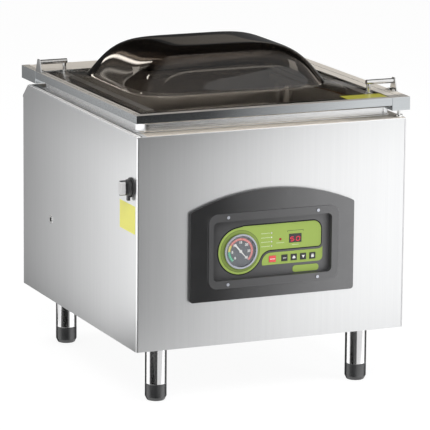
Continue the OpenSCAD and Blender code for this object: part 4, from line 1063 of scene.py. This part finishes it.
class SEALER_OT_panel(bpy.types.Operator):
    """Dress the bezel, the overlay and the keys, and add the print and the display's digits"""
    bl_idname = "sealer.panel"
    bl_label = "Control panel"
    rows = (
        ("control_bezel", 0.7, 3), ("control_tray", 0.3, 2), ("tray_collar", 0.3, 2),
        ("overlay_border", 0.1, 1), ("control_overlay", 0.12, 1), ("display_window", 0.15, 2),
        ("status_lamps", 0.35, 3), ("panel_screws", 0.4, 2, "gauge_chrome"),
        ("stop_key", 0.35, 3), ("set_key", 0.35, 3), ("up_key", 0.35, 3), ("down_key", 0.35, 3),
        ("mode_key", 0.35, 3), ("circuit_board", 0.15, 1),
    )
    display_face, film_face, key_face = -302.5, -302.2, -303.2    # of the print, in millimetres
    row_middle = -0.30214
    digit_row, digit_columns = 307.9, (43.2, 55.6)
    key_marks = {
        "up": [[(44.0, 269.6), (50.2, 269.6), (50.2, 272.2), (47.1, 275.6), (44.0, 272.2)]],
        "down": [[(63.4, 274.6), (66.7, 268.8), (70.0, 274.6)]],
        "mode": [bar(86.3, 271.2, 5.6, 4.6), bar(85.2, 274.6, 1.2, 2.2),
                 bar(87.4, 274.6, 1.2, 2.2)],
        "set": [bar(27.5 + x, 272, 1.7, 1.6) for x in (-2.4, 0, 2.4)],
        "stop": [bar(2.1 + x, 272, 1.9, 1.9) for x in (-3.9, -1.3, 1.3, 3.9)],
    }

    def execute(self, context):
        dress_all(self.rows)
        reading = context.scene.sealer_panel.reading.rjust(2, "0")[-2:]
        lit = [outline for character, x in zip(reading, self.digit_columns)
               for outline in digit(character, x, self.digit_row)]
        plates("display_digits", lit, self.display_face, "red_digit", "cabinet")
        tree = grid_tree()
        rows = [grow("print_rows", tree, "light_print", {
            "Corner": (x, self.row_middle, z), "Columns": columns, "Rows": count})
            for x, z, columns, count in (
                (-0.0042, 0.323, 9, 4), (0.0258, 0.3025, 8, 1), (0.0562, 0.2965, 7, 1))]
        add_piece("overlay_print", closed(gathered(rows), "overlay_print"), "light_print",
                  "cabinet")
        plates("display_line", [bar(49.8, 324.6, 34, 0.8), bar(33.2, 323.2, 0.8, 2.4),
                                bar(66.4, 323.2, 0.8, 2.4)],
               self.film_face, "dark_print", "cabinet")
        plates("lamp_ring", [circle(18.4, 309.5, 2.5)],
               self.film_face, "lamp_red", "cabinet")
        for key, outlines in self.key_marks.items():
            plates(key + "_mark", outlines, self.key_face, "white_print", key + "_key")
        return {"FINISHED"}


class SEALER_OT_gauge(bpy.types.Operator):
    """Dress the vacuum gauge, and add the ticks and the numbers of its dial"""
    bl_idname = "sealer.gauge"
    bl_label = "Gauge"
    rows = (
        ("gauge_case", 0.9, 4, "gauge_chrome"), ("gauge_dial", 0, 1), ("gauge_lens", 0.3, 2),
        ("gauge_needle", 0.12, 1),
    )
    face = -0.30374
    first, sweep = math.radians(228), math.radians(275)    # from the first number to the last
    tick_radius, number_radius = 0.0236, 0.0172

    def execute(self, context):
        dress_all(self.rows)
        ticks = grow("dial_ticks", ring_tree(), "white_print", {
            "Centre": (DIAL.x, self.face, DIAL.z), "Radius": self.tick_radius,
            "Count": context.scene.sealer_panel.ticks, "First": self.first,
            "Sweep": self.sweep, "Length": 0.0021, "Width": 0.00032, "Thickness": 0.0001})
        add_piece("dial_ticks", ticks, "white_print", "cabinet")
        numbers = [self.number(context, i) for i in range(7)]
        done = closed(gathered(numbers), "dial_numbers")
        for mesh in numbers:
            bpy.data.meshes.remove(mesh)
        add_piece("dial_numbers", done, "white_print", "cabinet")
        return {"FINISHED"}

    def number(self, context, i):
        """The mesh of one of the dial's seven numbers, upright at its place."""
        turn = self.first - self.sweep * i / 6
        text = bpy.data.curves.new("dial_number", "FONT")
        text.body, text.size = str(5 * i), 0.0064
        text.align_x, text.align_y = "CENTER", "CENTER"
        text.extrude, text.offset = 0.00004, 0.0003
        text.resolution_u = 3
        number = bpy.data.objects.new("dial_number", text)
        context.scene.collection.objects.link(number)
        mesh = evaluated(number)
        out = self.number_radius
        mesh.transform(
            Matrix.Translation((
                DIAL.x + out * math.cos(turn), self.face, DIAL.z + out * math.sin(turn)))
            @ Matrix.Rotation(math.pi / 2, 4, "X"))
        return mesh


class SEALER_OT_switch(bpy.types.Operator):
    """Dress the rotary power switch"""
    bl_idname = "sealer.switch"
    bl_label = "Power switch"
    rows = (("switch_base", 0.8, 3), ("switch_knob", 1.3, 3, "inlaid_knob"))

    def execute(self, context):
        dress_all(self.rows)
        return {"FINISHED"}


class SEALER_OT_pump(bpy.types.Operator):
    """Dress the vacuum pump, its motor and what hangs on them"""
    bl_idname = "sealer.pump"
    bl_label = "Pump"
    rows = (
        ("pump_body", 1.6, 2), ("pump_motor", 1.2, 2), ("motor_rotor", 0.5, 1),
        ("fan_cowl", 0.4, 2), ("exhaust_filter", 1.2, 3), ("vacuum_hose", 0.5, 2),
        ("valve_block", 0.8, 2), ("transformer", 0.5, 2),
    )

    def execute(self, context):
        dress_all(self.rows)
        return {"FINISHED"}


# ---- Stage ----

def stage_sheet(name, corners, look):
    """A flat sheet of the stage."""
    mesh = bpy.data.meshes.new(name)
    mesh.from_pydata([tuple(c) for c in corners], [], [tuple(range(len(corners)))])
    mesh.materials.append(look)
    sheet = bpy.data.objects.new(name, mesh)
    bpy.context.scene.collection.objects.link(sheet)
    return sheet


def reflector(name, corners, axis, stops, tint=(1.0, 1.0, 1.0)):
    """A card that only reflections see, graded along one axis; glass sees the rear ones too."""
    f = Finish(name)
    part = f.here()[axis]
    low, high, top = stops[0][0], stops[-1][0], max(v for _, v in stops)
    share = ((part - low) / (high - low)).math("MAXIMUM", 0.0).math("MINIMUM", 1.0)
    grade = [((place - low) / (high - low), v / top) for place, v in stops]
    glow = f.node("ShaderNodeEmission", None, {
        "Color": f.mix(f.ramp(share, *grade), (0.0, 0.0, 0.0), tint), "Strength": top})
    f.node("ShaderNodeOutputMaterial", None, {"Surface": glow})
    card = stage_sheet(name, corners, f.material)
    card.visible_camera = False
    card.visible_diffuse = False
    card.visible_transmission = name.startswith("rear")
    card.visible_shadow = False
    return card


def area_light(name, place, height, size, power):
    """A square light that faces the point at this height over the middle of the floor."""
    lamp = bpy.data.lights.new(name, "AREA")
    lamp.energy, lamp.size = power, size
    holder = bpy.data.objects.new(name, lamp)
    holder.location = place
    aim = Vector((0, 0, height)) - Vector(place)
    holder.rotation_euler = aim.to_track_quat("-Z", "Y").to_euler()
    holder.visible_camera = False
    bpy.context.scene.collection.objects.link(holder)


def upright(x0, x1, y, z0, z1):
    return [(x0, y, z0), (x1, y, z0), (x1, y, z1), (x0, y, z1)]


def sideways(x, y0, y1, z0, z1):
    return [(x, y0, z0), (x, y1, z0), (x, y1, z1), (x, y0, z1)]


def level(x0, x1, y0, y1, z):
    return [(x0, y0, z), (x1, y0, z), (x1, y1, z), (x0, y1, z)]


FAR = 4.0


def facing(start, end, z0, z1):
    """A far upright card between two bearings in degrees, where 0 is straight ahead."""
    (x0, y0), (x1, y1) = ((FAR * math.sin(math.radians(a)), -FAR * math.cos(math.radians(a)))
                          for a in (start, end))
    return [(x0, y0, z0), (x1, y1, z0), (x1, y1, z1), (x0, y0, z1)]


def even(value):
    return [(-9.0, value), (9.0, value)]


CREAM = (1.0, 0.92, 0.82)

# Graded cards round the object: name, corners, axis of the grade, its stops of place and
# brightness, and tint
CARDS = [
    ("front_card", [(-1.6, -0.76, -0.01), (2.4, -0.76, -0.01), (2.4, -0.76, 4.5),
                    (0.55, -0.76, 1.66), (0.3, -0.76, 1.38), (-1.6, -0.76, 1.38)], 0,
     [(-0.60, 0.0), (-0.21, 0.02), (-0.11, 0.32), (0.0, 0.52), (0.1, 0.80), (0.2, 1.05),
      (0.3, 1.24), (0.45, 1.36)]),
    ("front_strip", upright(-1.2, 0.6, -0.75, 0.435, 0.56), 0,
     [(-0.20, 0.02), (0.05, 0.05), (0.20, 0.45), (0.40, 1.0)]),
    ("front_low", upright(-1.6, 2.4, -0.76, -0.60, -0.13), 0,
     [(-0.60, 0.0), (-0.21, 0.02), (-0.11, 0.22), (0.0, 0.48), (0.1, 0.86), (0.2, 1.25),
      (0.3, 1.5), (0.45, 1.7)]),
    ("side_card", [(-0.52, -0.75, 0.08), (-0.52, 0.1, 0.08), (-0.52, 0.2, -0.04),
                   (-0.52, 2.4, -0.04), (-0.52, 2.4, 0.70), (-0.52, -0.75, 0.70)], 1,
     [(-0.3, 1.6), (0.0, 1.5), (0.2, 1.12), (0.28, 1.03), (0.39, 0.95), (0.50, 0.82),
      (0.61, 0.70), (0.72, 0.56), (0.83, 0.40), (1.15, 0.18)]),
    ("side_strip", sideways(-0.51, 0.0, 1.2, 0.413, 0.47), 1,
     [(0.0, 0.46), (0.6, 0.40), (0.8, 0.30)]),
    ("rear_card", upright(-3.0, 4.5, 2.2, 1.12, 4.0), 0,
     [(-0.92, 0.03), (-0.90, 1.4), (-0.88, 0.25), (-0.83, 0.2), (-0.80, 1.7), (-0.77, 0.3),
      (-0.58, 0.12), (-0.51, 7.0), (-0.465, 7.0), (-0.40, 0.10), (-0.15, 0.02), (0.3, 0.01)],
     CREAM),
    ("rear_window", upright(-0.92, -0.66, 2.19, 1.46, 1.68), 2, even(1.8), CREAM),
    ("rear_low", upright(-3.0, 4.5, 2.2, -2.0, 1.12), 0,
     [(-0.5, 0.04), (0.9, 0.05), (1.2, 0.12), (1.6, 0.25)]),
    ("rear_band", upright(0.3, 2.2, 2.19, 0.965, 1.06), 0,
     [(0.3, 0.06), (0.75, 0.13), (0.96, 0.18), (1.3, 0.24), (1.8, 0.28)], CREAM),
    ("roof_card", level(-3.0, 4.5, -1.6, 2.2, 2.4), 1,
     [(-1.6, 0.50), (0.2, 0.42), (0.7, 0.03), (1.8, 0.01)]),
    ("roof_strip", level(-0.45, 1.15, -0.82, -0.70, 2.39), 2, even(2.6), CREAM),
    ("right_strip", level(1.35, 1.70, -0.9, 0.05, 2.39), 2, even(3.0), CREAM),
    ("corner_spot", level(-1.47, -1.25, 1.05, 1.35, 2.39), 2, even(12.0), CREAM),
    ("low_left", facing(-157, -88, -1.35, -0.45), 2, even(1.35)),
    ("low_front", facing(-85, -8, -1.35, -0.45), 2, even(0.07)),
    ("low_right", facing(-4, 80, -1.35, -0.45), 2, even(0.85)),
    ("low_rear", facing(85, 157, -1.35, -0.45), 2, even(0.08)),
]


CAMERA_PLACE = (-2.7560, -6.3974, 1.8286)
CAMERA_AIM = (0.012519, 0.0, 0.295024)
CAMERA_ROLL = math.radians(0.506)
FLOOR_REACH = 14.0


class SEALER_OT_stage(bpy.types.Operator):
    """Set the camera, the pale floor, the white surround and the soft lights"""
    bl_idname = "sealer.stage"
    bl_label = "Stage"

    def execute(self, context):
        own = context.scene.sealer_stage
        self.camera(own)
        self.surround(own)
        self.floor()
        for row in CARDS:
            reflector(*row)
        area_light("key", (-1.3, -2.4, 2.7), 0.35, 1.3, own.key)
        area_light("fill", (2.6, -2.2, 1.7), 0.3, 1.6, own.fill)
        area_light("top", (0.3, 0.6, 3.0), 0.4, 1.8, own.fill * 0.8)
        context.scene.view_settings.view_transform = "Standard"
        return {"FINISHED"}

    def camera(self, own):
        lens = bpy.data.cameras.new("camera")
        lens.sensor_width, lens.lens = 36.0, own.lens
        lens.clip_start, lens.clip_end = 0.1, 100.0
        holder = bpy.data.objects.new("camera", lens)
        place = Vector(CAMERA_PLACE)
        back = (place - Vector(CAMERA_AIM)).normalized()
        right = (-back).cross(Vector((0, 0, 1))).normalized()
        up = right.cross(-back)
        turn = Matrix((right, up, back)).transposed().to_4x4()
        holder.matrix_world = (
            Matrix.Translation(place) @ turn @ Matrix.Rotation(CAMERA_ROLL, 4, "Z"))
        bpy.context.scene.collection.objects.link(holder)
        bpy.context.scene.camera = holder

    def surround(self, own):
        world = bpy.data.worlds.new("surround")
        world.use_nodes = True
        world.node_tree.nodes.clear()
        t = Tree(world.node_tree)
        shown = shown_rays(t)
        sky = t.node("ShaderNodeBackground", None, {
            "Color": (1.0, 1.0, 1.0, 1.0), "Strength": shown * (1.0 - own.sky) + own.sky})
        t.node("ShaderNodeOutputWorld", None, {"Surface": sky})
        bpy.context.scene.world = world

    def floor(self):
        f = Finish("floor")
        shown = shown_rays(f)
        speck = f.noise(3, 2)
        matt = f.node("ShaderNodeBsdfDiffuse", None, {
            "Color": f.mix(speck, (0.84, 0.84, 0.84), (0.86, 0.86, 0.86))})
        glow = f.node("ShaderNodeEmission", None, {"Color": (1, 1, 1, 1), "Strength": 1.10})
        both = f.node("ShaderNodeMixShader", None, {0: shown * 0.8, 1: matt, 2: glow})
        f.node("ShaderNodeOutputMaterial", None, {"Surface": both})
        r = FLOOR_REACH
        ground = stage_sheet("floor", level(-r, r, -r, r, 0), f.material)
        ground.visible_glossy = False


class SEALER_PT_sidebar(bpy.types.Panel):
    """Lists the settings and the operators of the sealer"""
    bl_idname = "SEALER_PT_sidebar"
    bl_label = "Chamber vacuum sealer"
    bl_space_type = "VIEW_3D"
    bl_region_type = "UI"
    bl_category = "Sealer"

    def draw(self, context):
        layout = self.layout
        for name, group in SETTINGS.items():
            column = layout.column(align=True)
            for prop in group.__annotations__:
                column.prop(getattr(context.scene, name), prop)
        for operator in OPERATORS:
            layout.operator(operator.bl_idname)


SETTINGS = {
    "sealer_steel": SteelSettings,
    "sealer_window": WindowSettings,
    "sealer_panel": PanelSettings,
    "sealer_stage": StageSettings,
}
OPERATORS = (
    SEALER_OT_stage, SEALER_OT_cabinet, SEALER_OT_legs, SEALER_OT_chamber, SEALER_OT_lid,
    SEALER_OT_panel, SEALER_OT_gauge, SEALER_OT_switch, SEALER_OT_pump,
)


def register():
    for group in SETTINGS.values():
        bpy.utils.register_class(group)
    for name, group in SETTINGS.items():
        setattr(bpy.types.Scene, name, PointerProperty(type=group))
    for operator in OPERATORS:
        bpy.utils.register_class(operator)
    bpy.utils.register_class(SEALER_PT_sidebar)


def unregister():
    bpy.utils.unregister_class(SEALER_PT_sidebar)
    for operator in reversed(OPERATORS):
        bpy.utils.unregister_class(operator)
    for name in SETTINGS:
        delattr(bpy.types.Scene, name)
    for group in reversed(SETTINGS.values()):
        bpy.utils.unregister_class(group)


def main():
    register()
    bpy.ops.sealer.stage()
    bpy.ops.sealer.cabinet()
    bpy.ops.sealer.legs()
    bpy.ops.sealer.chamber()
    bpy.ops.sealer.lid()
    bpy.ops.sealer.panel()
    bpy.ops.sealer.gauge()
    bpy.ops.sealer.switch()
    bpy.ops.sealer.pump()


if __name__ == "__main__":
    main()
